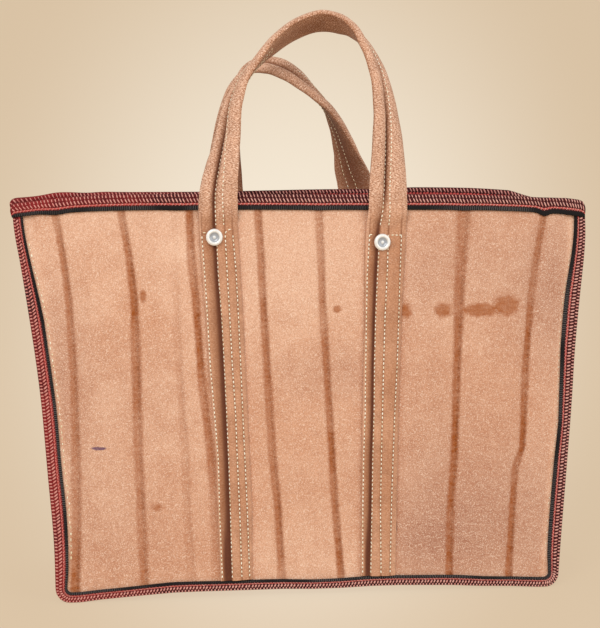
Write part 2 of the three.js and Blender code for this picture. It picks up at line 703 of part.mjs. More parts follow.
function strapStations(name, table) {
  const { start, end } = STRAPS[name];
  return [
    ...SEWN_HEIGHTS.map((z) => sewnStation(name, start, z)),
    ...handleStations(name, table),
    ...[...SEWN_HEIGHTS].reverse().map((z) => sewnStation(name, end, z)),
  ];
}

// Directions across a strap and out of its face, from its centres before and after a station
function strapFrame(before, station, after) {
  const tangent = new THREE.Vector3().subVectors(after.centre, before.centre).normalize();
  const across = new THREE.Vector3().crossVectors(tangent, station.normal).normalize();
  return { across, out: new THREE.Vector3().crossVectors(across, tangent) };
}

function strapGeometry(stations) {
  const sections = stations.map((station, k) => {
    const before = stations[Math.max(0, k - 1)];
    const after = stations[Math.min(stations.length - 1, k + 1)];
    const { across, out } = strapFrame(before, station, after);
    return strapOutline(station.width, station.thick, station.groove).map((p) =>
      station.centre.clone().addScaledVector(across, p.x).addScaledVector(out, p.y),
    );
  });
  const { width, thick, groove } = stations[0];
  return sectionGeometry(sections, strapOutline(width, thick, groove));
}

function rivetMesh(name, which) {
  const strap = STRAPS[name][which];
  const z = RIVET_HEIGHTS[name][which];
  const [below, station, above] = [-6, 0, 6].map((step) => sewnStation(name, strap, z + step));
  const { across, out } = strapFrame(below, station, above);
  const profile = RIVET_PROFILE.map(({ radius, height }) => new THREE.Vector2(radius, height));
  const rivet = new THREE.Mesh(new THREE.LatheGeometry(profile, RIVET_SIDES), WHITE_METAL);
  rivet.position.copy(station.centre)
    .addScaledVector(out, station.thick / 2 + GAP)
    .addScaledVector(across, strap.groove * (which === "start" ? 1 : -1));
  rivet.quaternion.setFromUnitVectors(new THREE.Vector3(0, 1, 0), out);
  return rivet;
}

function named(name, geometry, material) {
  const mesh = new THREE.Mesh(geometry, material);
  mesh.name = name;
  return mesh;
}

const bag = new THREE.Group();
bag.add(named("front_panel", panelGeometry("front", [2.6, 6]), SUEDE));
bag.add(named("back_panel", panelGeometry("back", [4.5]), SUEDE));
bag.add(named("gusset", gussetGeometry(), SUEDE));
for (const name of ["front", "back"]) {
  bag.add(named(`${name}_seam_binding`, seamBindingGeometry(name), BRAID));
  bag.add(named(`${name}_rim_binding`, rimBindingGeometry(name), BRAID));
}
const HANDLES = { front: FRONT_HANDLE, back: BACK_HANDLE };
for (const [name, table] of Object.entries(HANDLES)) {
  bag.add(named(`${name}_handle`, strapGeometry(strapStations(name, table)), STRAP_SUEDE));
  for (const which of ["start", "end"]) {
    const rivet = rivetMesh(name, which);
    const side = STRAPS[name][which].rim < 0 ? "left" : "right";
    rivet.name = `${name}_${side}_rivet`;
    bag.add(rivet);
  }
}

// The origin goes under the middle of the rim, which leans a little to the left of the floor
bag.position.x = -(sideX(1, RIM_HEIGHT - RIM_DROOP) + sideX(-1, RIM_HEIGHT - RIM_DROOP)) / 2;

export default bag;
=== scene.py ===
"""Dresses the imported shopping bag: napped leather, braided tape, sewn straps and rivets.

Lengths inside the classes are in millimetres in the maker's own frame, whose X is the drawn
place across the front. BagForm.metres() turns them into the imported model's frame.
"""

from __future__ import annotations

import logging
import math
from dataclasses import dataclass, field
from enum import Enum
from functools import cached_property, partial
from typing import Callable, ClassVar, Sequence

import bpy
import numpy as np
from mathutils import Matrix, Vector

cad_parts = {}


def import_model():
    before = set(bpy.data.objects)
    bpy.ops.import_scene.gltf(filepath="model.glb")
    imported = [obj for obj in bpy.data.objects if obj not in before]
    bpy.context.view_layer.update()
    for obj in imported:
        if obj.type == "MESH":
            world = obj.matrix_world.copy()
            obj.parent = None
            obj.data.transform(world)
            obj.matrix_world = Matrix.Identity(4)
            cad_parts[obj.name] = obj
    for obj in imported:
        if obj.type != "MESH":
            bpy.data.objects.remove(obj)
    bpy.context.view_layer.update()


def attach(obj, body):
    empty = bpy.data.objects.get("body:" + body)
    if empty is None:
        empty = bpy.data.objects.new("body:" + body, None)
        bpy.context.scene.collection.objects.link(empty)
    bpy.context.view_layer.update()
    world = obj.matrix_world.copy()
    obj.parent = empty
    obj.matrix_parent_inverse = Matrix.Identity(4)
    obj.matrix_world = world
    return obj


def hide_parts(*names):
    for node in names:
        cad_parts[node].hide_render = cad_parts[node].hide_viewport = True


LOG = logging.getLogger("shopping_bag")
MM = 0.001
SEED = 7
Array = np.ndarray
Colour = tuple[float, float, float]
Line = Callable[[Array], Array]
Surface = Callable[[Array, Array], Array]
Path = Callable[[float], tuple[Array, Array, Array]]
Material, Node, Object = bpy.types.Material, bpy.types.Node, bpy.types.Object


class Face(Enum):
    """The two sewn faces of the bag, with the way that each looks along Y."""

    FRONT = -1
    BACK = 1

    @property
    def label(self) -> str:
        """The face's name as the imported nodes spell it."""
        return self.name.lower()


class Slot(str, Enum):
    """The record's material slots."""

    PANEL = "panel_leather"
    STRAP = "strap_leather"
    BRAID = "braid"
    METAL = "rivet_metal"


def smoothstep(low: float, high: float, value: Array | float) -> Array:
    """Eases from 0 at low to 1 at high.

    Args:
        low: Where the result is 0.
        high: Where the result is 1.
        value: One number or many.

    Returns:
        The eased share, shaped as value is.
    """
    share = np.clip((np.asarray(value, float) - low) / (high - low), 0.0, 1.0)
    return share * share * (3.0 - 2.0 * share)


def mix(a: Array | float, b: Array | float, share: Array | float) -> Array | float:
    """Goes from a to b by a share."""
    return a + (b - a) * share


def hump(value: Array, place: float, reach: float) -> Array:
    """A soft rise to one at a place."""
    return np.exp(-(((value - place) / reach) ** 2))


def unit(vectors: Array) -> Array:
    """Scales each row of vectors to length one."""
    return vectors / np.maximum(np.linalg.norm(vectors, axis=-1, keepdims=True), 1e-12)


def lengths(points: Array) -> Array:
    """Running length along a row of points, from 0."""
    gaps = np.linalg.norm(np.diff(points, axis=0), axis=-1)
    return np.concatenate([[0.0], np.cumsum(gaps)])


def linear(*levels: int) -> Colour:
    """Turns a colour as a paint chart gives it, 0 to 255, into Blender's linear values."""
    shares = (level / 255.0 for level in levels)
    return tuple(s / 12.92 if s <= 0.04045 else ((s + 0.055) / 1.055) ** 2.4 for s in shares)


# The bag's form

CREASE_HEIGHTS = (12, 75, 103, 120, 190, 250, 285, 320)
WIDTH_HEIGHTS = (12, 190, 320)


@dataclass(frozen=True)
class Crease:
    """One soft trough down a panel: its place across and its burnish at CREASE_HEIGHTS."""

    places: tuple[float, ...]
    tones: tuple[float, ...]
    depth: float = 1.0
    widths: tuple[float, float, float] = (1.0, 1.0, 1.0)

    def at(self, z: Array) -> Array:
        """Place across the panel at height z."""
        return np.interp(z, CREASE_HEIGHTS, self.places)


CREASES = (
    Crease((-200, -198, -198, -198, -199.5, -203, -207.5, -213.5),
           (1.0, 0.8, 0.7, 0.7, 0.8, 0.85, 0.8, 0.75), 0.9, (1.3, 1.0, 0.9)),
    Crease((-142.5, -144.5, -145.5, -146.5, -147.5, -149, -153, -159),
           (0.75, 0.8, 0.75, 0.75, 0.95, 1.0, 0.95, 0.85), 1.1, (1.1, 1.2, 0.9)),
    Crease((-102.5, -106, -107, -107.5, -112, -114, -115, -116),
           (0.3, 0.35, 0.35, 0.35, 0.25, 0.15, 0.1, 0.1), 0.3),
    Crease((-82, -83.5, -85, -86, -94, -98, -101.5, -103),
           (0.25, 0.35, 0.6, 0.9, 1.0, 1.0, 1.0, 0.9), 0.9),
    Crease((-26.5, -29.5, -32.5, -34, -38.5, -42, -43.5, -46),
           (0.8, 1.0, 1.0, 0.95, 0.9, 0.9, 0.85, 0.85), 1.1),
    Crease((24.5, 19.5, 17.5, 16.5, 12, 8, 7, 5),
           (1.0, 1.0, 0.95, 0.95, 0.9, 0.8, 0.7, 0.65), 1.0),
    Crease((119, 120.5, 122.5, 123.5, 125.5, 127, 128.5, 131),
           (0.95, 0.95, 1.0, 1.0, 0.95, 0.85, 0.75, 0.65), 1.1, (1.05, 1.1, 1.8)),
    Crease((172, 176, 178, 184.5, 187.5, 192.5, 198, 204.5),
           (1.0, 0.95, 0.9, 1.0, 1.0, 0.9, 0.8, 0.75), 1.2),
)


@dataclass(frozen=True)
class StrapLine:
    """Where one sewn strap lies: its middle at the floor and at the rim."""

    floor: float
    rim: float
    rise: ClassVar[float] = 337.0
    half_widths: ClassVar[tuple[float, float]] = (15.5, 16.5)

    def middle(self, z: Array | float) -> Array:
        """Place across the bag of the strap's middle at height z."""
        return mix(self.floor, self.rim, np.clip(np.asarray(z, float) / self.rise, 0, 1))

    def half(self, z: Array | float) -> Array:
        """Half the strap's width at height z."""
        return mix(*self.half_widths, np.clip(np.asarray(z, float) / self.rise, 0, 1))

    def beside(self, x: Array, z: Array) -> Array:
        """How far a place lies outside the strap."""
        return np.abs(x - self.middle(z)) - self.half(z)


STRAPS = {
    Face.FRONT: (StrapLine(-65, -80), StrapLine(57, 63.5)),
    Face.BACK: (StrapLine(57, 51), StrapLine(-65, -67.5)),
}


@dataclass(frozen=True)
class BagForm:
    """The bag's outline, the bow of its faces and the layers of its seams."""

    shift: float = 2.411
    heights: tuple[float, ...] = (0, 50, 105, 160, 200, 245, 280, 300, 318, 337)
    left: tuple[float, ...] = (216, 217.3, 221.8, 226.3, 231, 237.6, 243.2, 246.8, 248.8, 249.2)
    right: tuple[float, ...] = (216, 220.5, 225.8, 230.8, 233.8, 238.6, 242.8, 244.4, 244.3, 244.3)
    rim_height: float = 337.0
    floor_half: float = 216.0
    corner: float = 12.0
    inner_corner: float = 1.5
    droop: float = 8.0
    rim_corner: float = 7.0
    sag: tuple[float, float, float] = (-95.0, 2.6, 90.0)
    out_rim: float = 8.0
    out_floor: float = 60.0
    bow: float = 28.0
    leather: float = 2.0
    tape: float = 1.5
    gap: float = 0.4
    leg: float = 12.0
    seam_margin: float = 2.0
    floor_share: float = 0.92
    crease_width: float = 3.4
    waves: tuple[tuple[float, float, float], ...] = ((1.1, 40, 260), (0.5, -15, 170))
    puff: float = 1.2
    puff_width: float = 60.0
    puff_beside: tuple[float, float] = (6, 22)
    puff_fades: tuple[float, float] = (285, 315)
    puff_starts: float = 120.0
    drape: float = 1.0075
    lift_at: tuple[float, ...] = (-196, -178, -148, -118, -99, -25, 0, 25, 50, 75, 99, 124, 149, 174, 198)
    lift: tuple[float, ...] = (0, 1.9, 3.9, 5.7, 5.9, 5.8, 5.0, 5.0, 5.8, 5.8, 5.0, 4.1, 2.5, 1.7, 0)
    dips: tuple[tuple[float, float, float], ...] = (
        (-213, 1.4, 9), (-112, 0.5, 12), (5, 0.4, 8), (131, 0.5, 8), (204.5, 2.9, 5),
    )

    @property
    def raw_edge(self) -> float:
        """Depth of the leather's raw edge inside the tape."""
        return self.tape + 2 * self.gap

    @property
    def face_out(self) -> float:
        """How far the tape's outer face stands from the panel's middle."""
        return self.leather / 2 + self.gap + self.tape

    @property
    def gusset_layer(self) -> float:
        """How far the gusset's flange lies behind the panel's middle."""
        return self.leather + self.gap

    @property
    def inner_out(self) -> float:
        """How far the tape's inner face stands behind the panel's middle."""
        return self.gusset_layer + self.face_out

    def metres(self, x: Array, y: Array, z: Array) -> Array:
        """Places in millimetres as points in metres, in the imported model's frame."""
        x, y, z = np.broadcast_arrays(x, y, z)
        return np.stack([(x + self.shift) * MM, y * MM, z * self.drape * MM], axis=-1)

    def placed(self, points: Array) -> Array:
        """Rows of points in millimetres as points in metres."""
        return self.metres(*np.moveaxis(points, -1, 0))

    def side_x(self, side: int, z: Array | float) -> Array:
        """Outer fold of the side binding: a smooth curve through the heights' table.

        Args:
            side: -1 on the left or 1 on the right.
            z: Heights.

        Returns:
            The places across.
        """
        rows, values = np.array(self.heights, float), np.array(self.left if side < 0 else self.right)
        z = np.asarray(z, float)
        last = len(rows) - 1
        i = np.clip(np.searchsorted(rows, z, side="left") - 1, 0, last - 1)
        below = np.maximum(np.arange(last + 1) - 1, 0)
        above = np.minimum(np.arange(last + 1) + 1, last)
        slope = (values[above] - values[below]) / (rows[above] - rows[below])
        step = rows[i + 1] - rows[i]
        t = np.clip((z - rows[i]) / step, 0, 1)
        leave = t * (1 - t) ** 2 * step * slope[i]
        arrive = t**2 * (t - 1) * step * slope[i + 1]
        return side * (mix(values[i], values[i + 1], smoothstep(0, 1, t)) + leave + arrive)

    def seam_mark(self, side: int, z: Array | float) -> Array:
        """The line just inside the tape on one side, at height z."""
        return self.side_x(side, z) - side * (self.leg + self.seam_margin)

    def middle_and_half(self, z: Array | float) -> tuple[Array, Array]:
        """Middle and half width of the bag's outline at height z."""
        right, left = self.side_x(1, z), self.side_x(-1, z)
        return (right + left) / 2, (right - left) / 2

    def rim_line(self, face: Face, x: Array) -> Array:
        """Top of the rim binding without its rounded ends."""
        middle, half = self.middle_and_half(self.rim_height)
        height = self.rim_height - self.droop * (np.abs(x - middle) / half) ** 4
        place, depth, reach = self.sag
        return height - depth * hump(x, place, reach) if face is Face.BACK else height

    def rim_end(self, side: int) -> float:
        """Place across of the side binding's fold under the rim binding."""
        return float(self.side_x(side, self.rim_height - self.droop))

    def end_reach(self, x: Array) -> Array:
        """How far out the rim ends on the side of x."""
        return np.where(x < 0, abs(self.rim_end(-1)), abs(self.rim_end(1)))

    def rim_top(self, face: Face, x: Array) -> Array:
        """Top of the rim binding, rounded down at both ends."""
        end = self.end_reach(x) + self.tape + self.gap
        past = np.clip((np.abs(x) - (end - self.rim_corner)) / self.rim_corner, 0, 1)
        return self.rim_line(face, x) - self.rim_corner * (1 - np.sqrt(1 - past * past))

    def tape_top(self, face: Face, x: Array) -> Array:
        """Top of the rim tape: lower at the front's left end, lumpy and stepped behind.

        Args:
            face: Which face of the bag.
            x: Places across.

        Returns:
            The heights.
        """
        top = self.rim_top(face, x)
        if face is Face.FRONT:
            places, rises = (-245, -225, -200, -170, 200, 225), (-2.4, -1.6, -0.6, 0.0, 0.0, 1.2)
            return top + np.interp(x, places, rises)
        places = (-245, -215, -190, -165, -150, 60, 100, 150, 184, 198, 210, 244)
        rises = (0.8, 2.0, 1.2, 0.6, 0.2, 0, 2.0, 2.8, 2.6, -0.8, -3.0, -3.0)
        lumps = 0.5 * np.sin(x / 7.0) * (1 - smoothstep(-190, -160, x))
        return top + np.interp(x, places, rises) + lumps

    def rim_low(self, x: Array) -> Array:
        """How far the rim tape's lower edge dips at the creases."""
        return sum(depth * hump(x, place, reach) for place, depth, reach in self.dips)

    def rim_swell(self, x: Array) -> Array:
        """How much the rim tape widens to go over the side bindings, 0 to 1."""
        return 1 - smoothstep(self.leg + 3, self.leg + 11, self.end_reach(x) - np.abs(x))

    def plain_out(self, x: Array, z: Array) -> Array:
        """Distance of the plain bowed panel from the bag's middle plane."""
        x, z = np.asarray(x, float), np.asarray(z, float)
        share = np.clip(z / self.rim_height, 0, 1)
        middle, half = self.middle_and_half(z)
        across = np.clip(np.abs(x - middle) / half, 0, 1)
        wave = sum(high * np.sin(2 * np.pi * (x - start) / long) for high, start, long in self.waves)
        level = mix(self.out_floor, self.out_rim, z / self.rim_height)
        return level + (self.bow * share + wave * share**2) * (1 - across**2)

    def puff_out(self, face: Face, x: Array, z: Array) -> Array:
        """How far a panel puffs out between its creases.

        Args:
            face: Which face of the bag.
            x: Places across.
            z: Heights.

        Returns:
            The distances.
        """
        edges = [self.seam_mark(-1, z), *(crease.at(z) for crease in CREASES), self.seam_mark(1, z)]
        height = np.zeros(np.broadcast(x, z).shape)
        for low, high in zip(edges, edges[1:]):
            width = high - low
            share = (x - low) / width
            crown = self.puff * np.minimum(1, width / self.puff_width) * 4 * share * (1 - share)
            height = np.where((share > 0) & (share <= 1), crown, height)
        for strap in STRAPS[face]:
            height = height * smoothstep(*self.puff_beside, strap.beside(x, z))
        fade = 1 - smoothstep(*self.puff_fades, z)
        return height * fade * smoothstep(self.leg, self.puff_starts, z)

    def trough(self, x: Array, z: Array) -> Array:
        """How far the creases press the panel in."""
        depth = sum(crease.depth * hump(x, crease.at(z), self.crease_width) for crease in CREASES)
        rim_edge = self.rim_height - self.droop - self.leg - 2
        depth *= 1 - smoothstep(rim_edge - 8, rim_edge, z)
        depth *= smoothstep(self.leg + 2, self.leg + 10, z)
        fold = np.where(x < 0, np.abs(self.side_x(-1, z)), np.abs(self.side_x(1, z)))
        return depth * smoothstep(3, 6.5, fold - np.abs(x) - self.leg)

    def floor_lift(self, x: Array, z: Array) -> Array:
        """How far a low place lifts between the corners on which the bag stands."""
        return np.interp(x, self.lift_at, self.lift) * (1 - smoothstep(9, 70, z))


# Modelling helpers

MERGE = partial(bpy.ops.mesh.remove_doubles, threshold=1e-6)
CAP = partial(bpy.ops.mesh.fill_holes, sides=0)
OUTWARDS = partial(bpy.ops.mesh.normals_make_consistent, inside=False)
FLIP = bpy.ops.mesh.flip_normals


def deselect() -> None:
    """Leaves nothing selected, so that the next operator acts on one piece alone."""
    if bpy.context.object is not None and bpy.context.object.mode != "OBJECT":
        bpy.ops.object.mode_set(mode="OBJECT")
    bpy.ops.object.select_all(action="DESELECT")


def take(piece: Object) -> None:
    """Selects one piece and makes it active."""
    deselect()
    piece.select_set(True)
    bpy.context.view_layer.objects.active = piece


def edit(piece: Object, *steps: Callable[[], object]) -> None:
    """Does edit mode steps, each on all of a piece."""
    take(piece)
    bpy.ops.object.mode_set(mode="EDIT")
    for step in steps:
        bpy.ops.mesh.select_all(action="SELECT")
        step()
    bpy.ops.object.mode_set(mode="OBJECT")


def smooth(piece: Object, degrees: float) -> None:
    """Shades a piece smooth, but for edges sharper than this."""
    take(piece)
    bpy.ops.object.shade_smooth_by_angle(angle=math.radians(degrees))


def thicken(piece: Object, thickness: float, **settings: object) -> None:
    """Gives a sheet its thickness in millimetres, half on either side."""
    take(piece)
    modifier = piece.modifiers.new("Thickness", "SOLIDIFY")
    for key, value in {"thickness": thickness * MM, "offset": 0.0, **settings}.items():
        setattr(modifier, key, value)
    bpy.ops.object.modifier_apply(modifier=modifier.name)


def declare(piece: Object, node: str, slot: Slot) -> Object:
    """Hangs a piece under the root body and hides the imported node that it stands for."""
    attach(piece, "root")
    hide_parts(node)
    return piece


def set_attribute(piece: Object, name: str, values: Array) -> None:
    """Writes one number to each vertex, for the piece's material to read."""
    attribute = piece.data.attributes.new(name, "FLOAT", "POINT")
    attribute.data.foreach_set("value", np.asarray(values, np.float32).ravel())


def place_grid(
    name: str, points: Array, uv: tuple[Array, Array], materials: Sequence[Material],
    marks: dict[str, Array] | None = None,
) -> Object:
    """Lays a grid over rows of points.

    Args:
        name: The piece's name.
        points: Points in metres, rows by columns by three.
        uv: Places along and across the flat leather or tape, in millimetres.
        materials: What the piece is made of.
        marks: Numbers for each point, rows by columns, by attribute name.

    Returns:
        The grid as an open sheet.
    """
    rows, columns = points.shape[:2]
    deselect()
    bpy.ops.mesh.primitive_grid_add(x_subdivisions=columns - 1, y_subdivisions=rows - 1, size=1.0)
    piece = bpy.context.object
    mesh = piece.data
    piece.name = mesh.name = name
    flat = np.empty(len(mesh.vertices) * 3, np.float32)
    mesh.vertices.foreach_get("co", flat)
    flat = flat.reshape(-1, 3) + 0.5
    column = np.rint(flat[:, 0] * (columns - 1)).astype(int)
    row = np.rint(flat[:, 1] * (rows - 1)).astype(int)
    mesh.vertices.foreach_set("co", points[row, column].astype(np.float32).ravel())
    while mesh.uv_layers:
        mesh.uv_layers.remove(mesh.uv_layers[0])
    corner = np.empty(len(mesh.loops), np.int32)
    mesh.loops.foreach_get("vertex_index", corner)
    layer = mesh.uv_layers.new(name="UVMap")
    flat_places = np.stack(np.broadcast_arrays(*uv), -1) * MM
    layer.data.foreach_set("uv", flat_places[row, column][corner].astype(np.float32).ravel())
    for mark, values in (marks or {}).items():
        set_attribute(piece, mark, values[row, column])
    for material in materials:
        mesh.materials.append(material)
    mesh.update()
    return piece


def surface_frame(
    surface: Surface, along: Array, across: Array, toward: Array
) -> tuple[Array, Array, Array]:
    """Directions on a surface given by two running lengths.

    Args:
        surface: Point at a length along and a length across.
        along: Lengths along.
        across: Lengths across.
        toward: A direction on the outer side of the surface.

    Returns:
        The points, the directions along, and the directions out of the surface.
    """
    step = 0.25
    run = unit(surface(along + step, across) - surface(along - step, across))
    side = unit(surface(along, across + step) - surface(along, across - step))
    out = unit(np.cross(run, side))
    flip = np.sign(np.sum(out * toward, axis=-1, keepdims=True))
    return surface(along, across), run, out * np.where(flip == 0, 1.0, flip)


class Pip:
    """One small closed spindle, modelled once and laid many times as yarn or stitches."""

    def __init__(self, sides: int = 5, rings: int = 5, bluntness: float = -0.25) -> None:
        """Models the spindle with its rings' widths raised to a power, and keeps its points.

        Args:
            sides: Sides round the spindle.
            rings: Rings between its two ends.
            bluntness: Power of its rings' widths, below 0 for blunter ends.
        """
        deselect()
        bpy.ops.mesh.primitive_uv_sphere_add(segments=sides, ring_count=rings, radius=1.0)
        made = bpy.context.object
        points = np.array([vertex.co for vertex in made.data.vertices], float)
        reach = np.hypot(points[:, 0], points[:, 1])
        grown = np.where(reach > 1e-6, np.maximum(reach, 1e-6) ** bluntness, 1.0)
        self.across, self.height = points[:, 0] * grown, points[:, 1] * grown
        self.along = points[:, 2]
        # Sorted, because Blender lists a sphere's faces in another order each run
        self.faces = np.array(sorted(tuple(face.vertices) + (-1,) * (4 - len(face.vertices))
                                     for face in made.data.polygons))
        bpy.data.objects.remove(made)

    def lay(
        self, name: str, path: Path, count: int, size: tuple[Array | float, float], tone: Array,
        material: Material,
    ) -> Object:
        """Lays copies of the spindle along short paths and makes them one piece.

        Args:
            name: The piece's name.
            path: For a share of each copy's length, -1 to 1, the points, directions along
                and directions out, all counted by copy.
            count: How many copies there are.
            size: Half the width and half the thickness of each copy, in millimetres.
            tone: A number for each copy, for the material.
            material: What the copies are made of.

        Returns:
            The piece, with its shade in the attribute "tone" and its length in "run".
        """
        points = np.empty((count, len(self.along), 3))
        run_share = np.empty((count, len(self.along)))
        wide, thick = (np.broadcast_to(half, count)[:, None, None] * MM for half in size)
        for level in np.unique(np.round(self.along, 5)):
            which = np.abs(self.along - level) < 1e-4
            here, run, out = path(level)
            across, height = (values[which][None, :, None] for values in (self.across, self.height))
            beside = np.cross(out, run)[:, None]
            points[:, which] = here[:, None] + beside * (across * wide) + out[:, None] * (height * thick)
            run_share[:, which] = level
        starts = np.arange(count)[:, None, None] * len(self.along)
        table = np.where(self.faces < 0, -1, starts + self.faces).reshape(-1, 4).tolist()
        mesh = bpy.data.meshes.new(name)
        mesh.from_pydata(points.reshape(-1, 3), [], [[k for k in row if k >= 0] for row in table])
        mesh.materials.append(material)
        piece = bpy.data.objects.new(name, mesh)
        bpy.context.scene.collection.objects.link(piece)
        set_attribute(piece, "tone", np.repeat(tone, len(self.along)))
        set_attribute(piece, "run", run_share)
        smooth(piece, 80)
        return piece


# Finishes


@dataclass(frozen=True)
class NapFinish:
    """Colours of a napped leather, from its lightest patches to its deepest creases; light, shaded, crease
    and deep also paint highlight and shade, and hair paints pale fibres that are partly painted glints.
    """

    light: Colour
    middle: Colour
    warm: Colour
    crease: Colour
    deep: Colour
    hair: Colour
    shaded: Colour = linear(164, 112, 90)
    fleck: Colour = linear(206, 182, 168)
    roughness: float = 0.9
    sheen: float = 0.08


@dataclass(frozen=True)
class BraidFinish:
    """Colours of the braided tape; its dark maroon ground is partly the tape's own colour and partly
    painted shade between the yarn strokes.
    """

    ground: Colour = linear(54, 12, 18)
    ground_red: Colour = linear(128, 26, 28)
    pale: Colour = linear(226, 172, 160)
    pink: Colour = linear(212, 118, 110)
    rose: Colour = linear(206, 84, 80)
    line: Colour = linear(196, 84, 78)
    selvedge: Colour = linear(20, 17, 18)
    selvedge_rib: Colour = linear(106, 100, 100)


@dataclass(frozen=True)
class PlainFinish:
    """Colours of the thread or the metal: new, used and deepest; on the metal the deepest is painted shade
    and reflection in the rivet's dished middle.
    """

    new: Colour
    used: Colour
    deep: Colour


PANEL_NAP = NapFinish(
    linear(230, 190, 164), linear(210, 159, 129), linear(192, 134, 101), linear(154, 78, 12),
    linear(104, 50, 10), linear(246, 222, 202),
)
STRAP_NAP = NapFinish(
    linear(226, 180, 152), linear(204, 151, 117), linear(186, 130, 95), linear(122, 74, 48),
    linear(88, 46, 34), linear(246, 214, 192),
)
BRAID = BraidFinish()
THREAD = PlainFinish(linear(255, 252, 236), linear(232, 214, 178), linear(190, 160, 120))
WHITE_METAL = PlainFinish(linear(242, 242, 240), linear(214, 214, 212), linear(140, 148, 160))


class Value:
    """What a node puts out, with which sums are written as in arithmetic."""

    def __init__(self, graph: Graph, socket: bpy.types.NodeSocket) -> None:
        """Keeps the socket and its graph."""
        self.graph, self.socket = graph, socket

    def __add__(self, other: Value | float) -> Value:
        """This and another."""
        return self.graph.math("ADD", self, other)

    def __sub__(self, other: Value | float) -> Value:
        """This less another."""
        return self.graph.math("SUBTRACT", self, other)

    def __rsub__(self, other: float) -> Value:
        """A number less this."""
        return self.graph.math("SUBTRACT", other, self)

    def __mul__(self, other: Value | float) -> Value:
        """This times another."""
        return self.graph.math("MULTIPLY", self, other)

    def __truediv__(self, other: Value | float) -> Value:
        """This over another."""
        return self.graph.math("DIVIDE", self, other)

    def clamped(self) -> Value:
        """The same sum, kept between 0 and 1."""
        self.socket.node.use_clamp = True
        return self

    def ease(self, low: float, high: float) -> Value:
        """Eases from 0 at low to 1 at high."""
        node = self.graph.add("ShaderNodeMapRange", interpolation_type="SMOOTHSTEP")
        return self.graph.feed(node, Value=self, From_Min=low, From_Max=high)


class Graph:
    """A node tree with short ways to add and join its nodes."""

    def __init__(self, tree: bpy.types.NodeTree) -> None:
        """Starts with an empty tree."""
        self.tree = tree
        tree.nodes.clear()

    def add(self, kind: str, **settings: object) -> Node:
        """Adds a node of a kind with its settings."""
        node = self.tree.nodes.new(kind)
        for key, value in settings.items():
            setattr(node, key, value)
        return node

    def join(self, source: object, target: bpy.types.NodeSocket) -> None:
        """Feeds a socket from a value or sets its plain number or colour."""
        if isinstance(source, Value):
            self.tree.links.new(source.socket, target)
        else:
            target.default_value = (*source, 1.0) if target.type == "RGBA" else source

    def feed(self, node: Node, **values: object) -> Value:
        """Feeds a node's inputs by name, _ for a space, and returns its first output."""
        for key, value in values.items():
            self.join(value, node.inputs[key.replace("_", " ")])
        return Value(self, node.outputs[0])

    def math(self, kind: str, *values: object) -> Value:
        """Adds a Math node and returns its result."""
        node = self.add("ShaderNodeMath", operation=kind)
        for value, socket in zip(values, node.inputs):
            self.join(value, socket)
        return Value(self, node.outputs[0])

    def layers(self, colour: Colour, *layers: tuple) -> Value:
        """Lays colours over a first one.

        Args:
            colour: The first colour.
            layers: For each, its share, its colour and how it is mixed, if not plainly.

        Returns:
            The colour on top.
        """
        for share, over, *kind in layers:
            node = self.add("ShaderNodeMix", data_type="RGBA", blend_type=kind[0] if kind else "MIX")
            for value, socket in zip((share, colour, over), (0, 6, 7)):
                self.join(value, node.inputs[socket])
            colour = Value(self, node.outputs[2])
        return colour

    def noise(
        self, vector: Value, scale: Value | float, detail: float, roughness: float, distortion: float = 0.0
    ) -> Value:
        """Adds a noise texture and returns its value."""
        return self.feed(self.add("ShaderNodeTexNoise"), Vector=vector, Scale=scale, Detail=detail,
                         Roughness=roughness, Distortion=distortion)

    def stretch(self, vector: Value, scale: tuple[float, float, float], turn: float = 0.0) -> Value:
        """Turns and stretches a pattern's coordinates."""
        return self.feed(self.add("ShaderNodeMapping"), Vector=vector, Scale=scale, Rotation=(0, 0, turn))

    def parts(self, vector: Value) -> list[Value]:
        """The three parts of a vector."""
        node = self.add("ShaderNodeSeparateXYZ")
        self.feed(node, Vector=vector)
        return [Value(self, socket) for socket in node.outputs]


class Effect(Graph):
    """A shared effect: a node group that takes a place and some numbers."""

    def __init__(self, name: str, **inputs: float) -> None:
        """Makes the group's inputs, with their starting values.

        Args:
            name: The group's name.
            inputs: Starting values by input name, _ for a space.
        """
        super().__init__(bpy.data.node_groups.new(name, "ShaderNodeTree"))
        sockets = self.tree.interface
        sockets.new_socket("Vector", in_out="INPUT", socket_type="NodeSocketVector")
        for label, value in inputs.items():
            label = label.replace("_", " ")
            socket = sockets.new_socket(label, in_out="INPUT", socket_type="NodeSocketFloat")
            socket.default_value = value
        given = self.add("NodeGroupInput").outputs
        self.given = {socket.name: Value(self, socket) for socket in given if socket.name}
        self.place = self.given["Vector"]

    def give(self, **values: Value) -> bpy.types.NodeTree:
        """Makes the group's outputs and returns the finished group."""
        for label in values:
            self.tree.interface.new_socket(label, in_out="OUTPUT", socket_type="NodeSocketFloat")
        made = self.add("NodeGroupOutput")
        for label, value in values.items():
            self.join(value, made.inputs[label])
        return self.tree


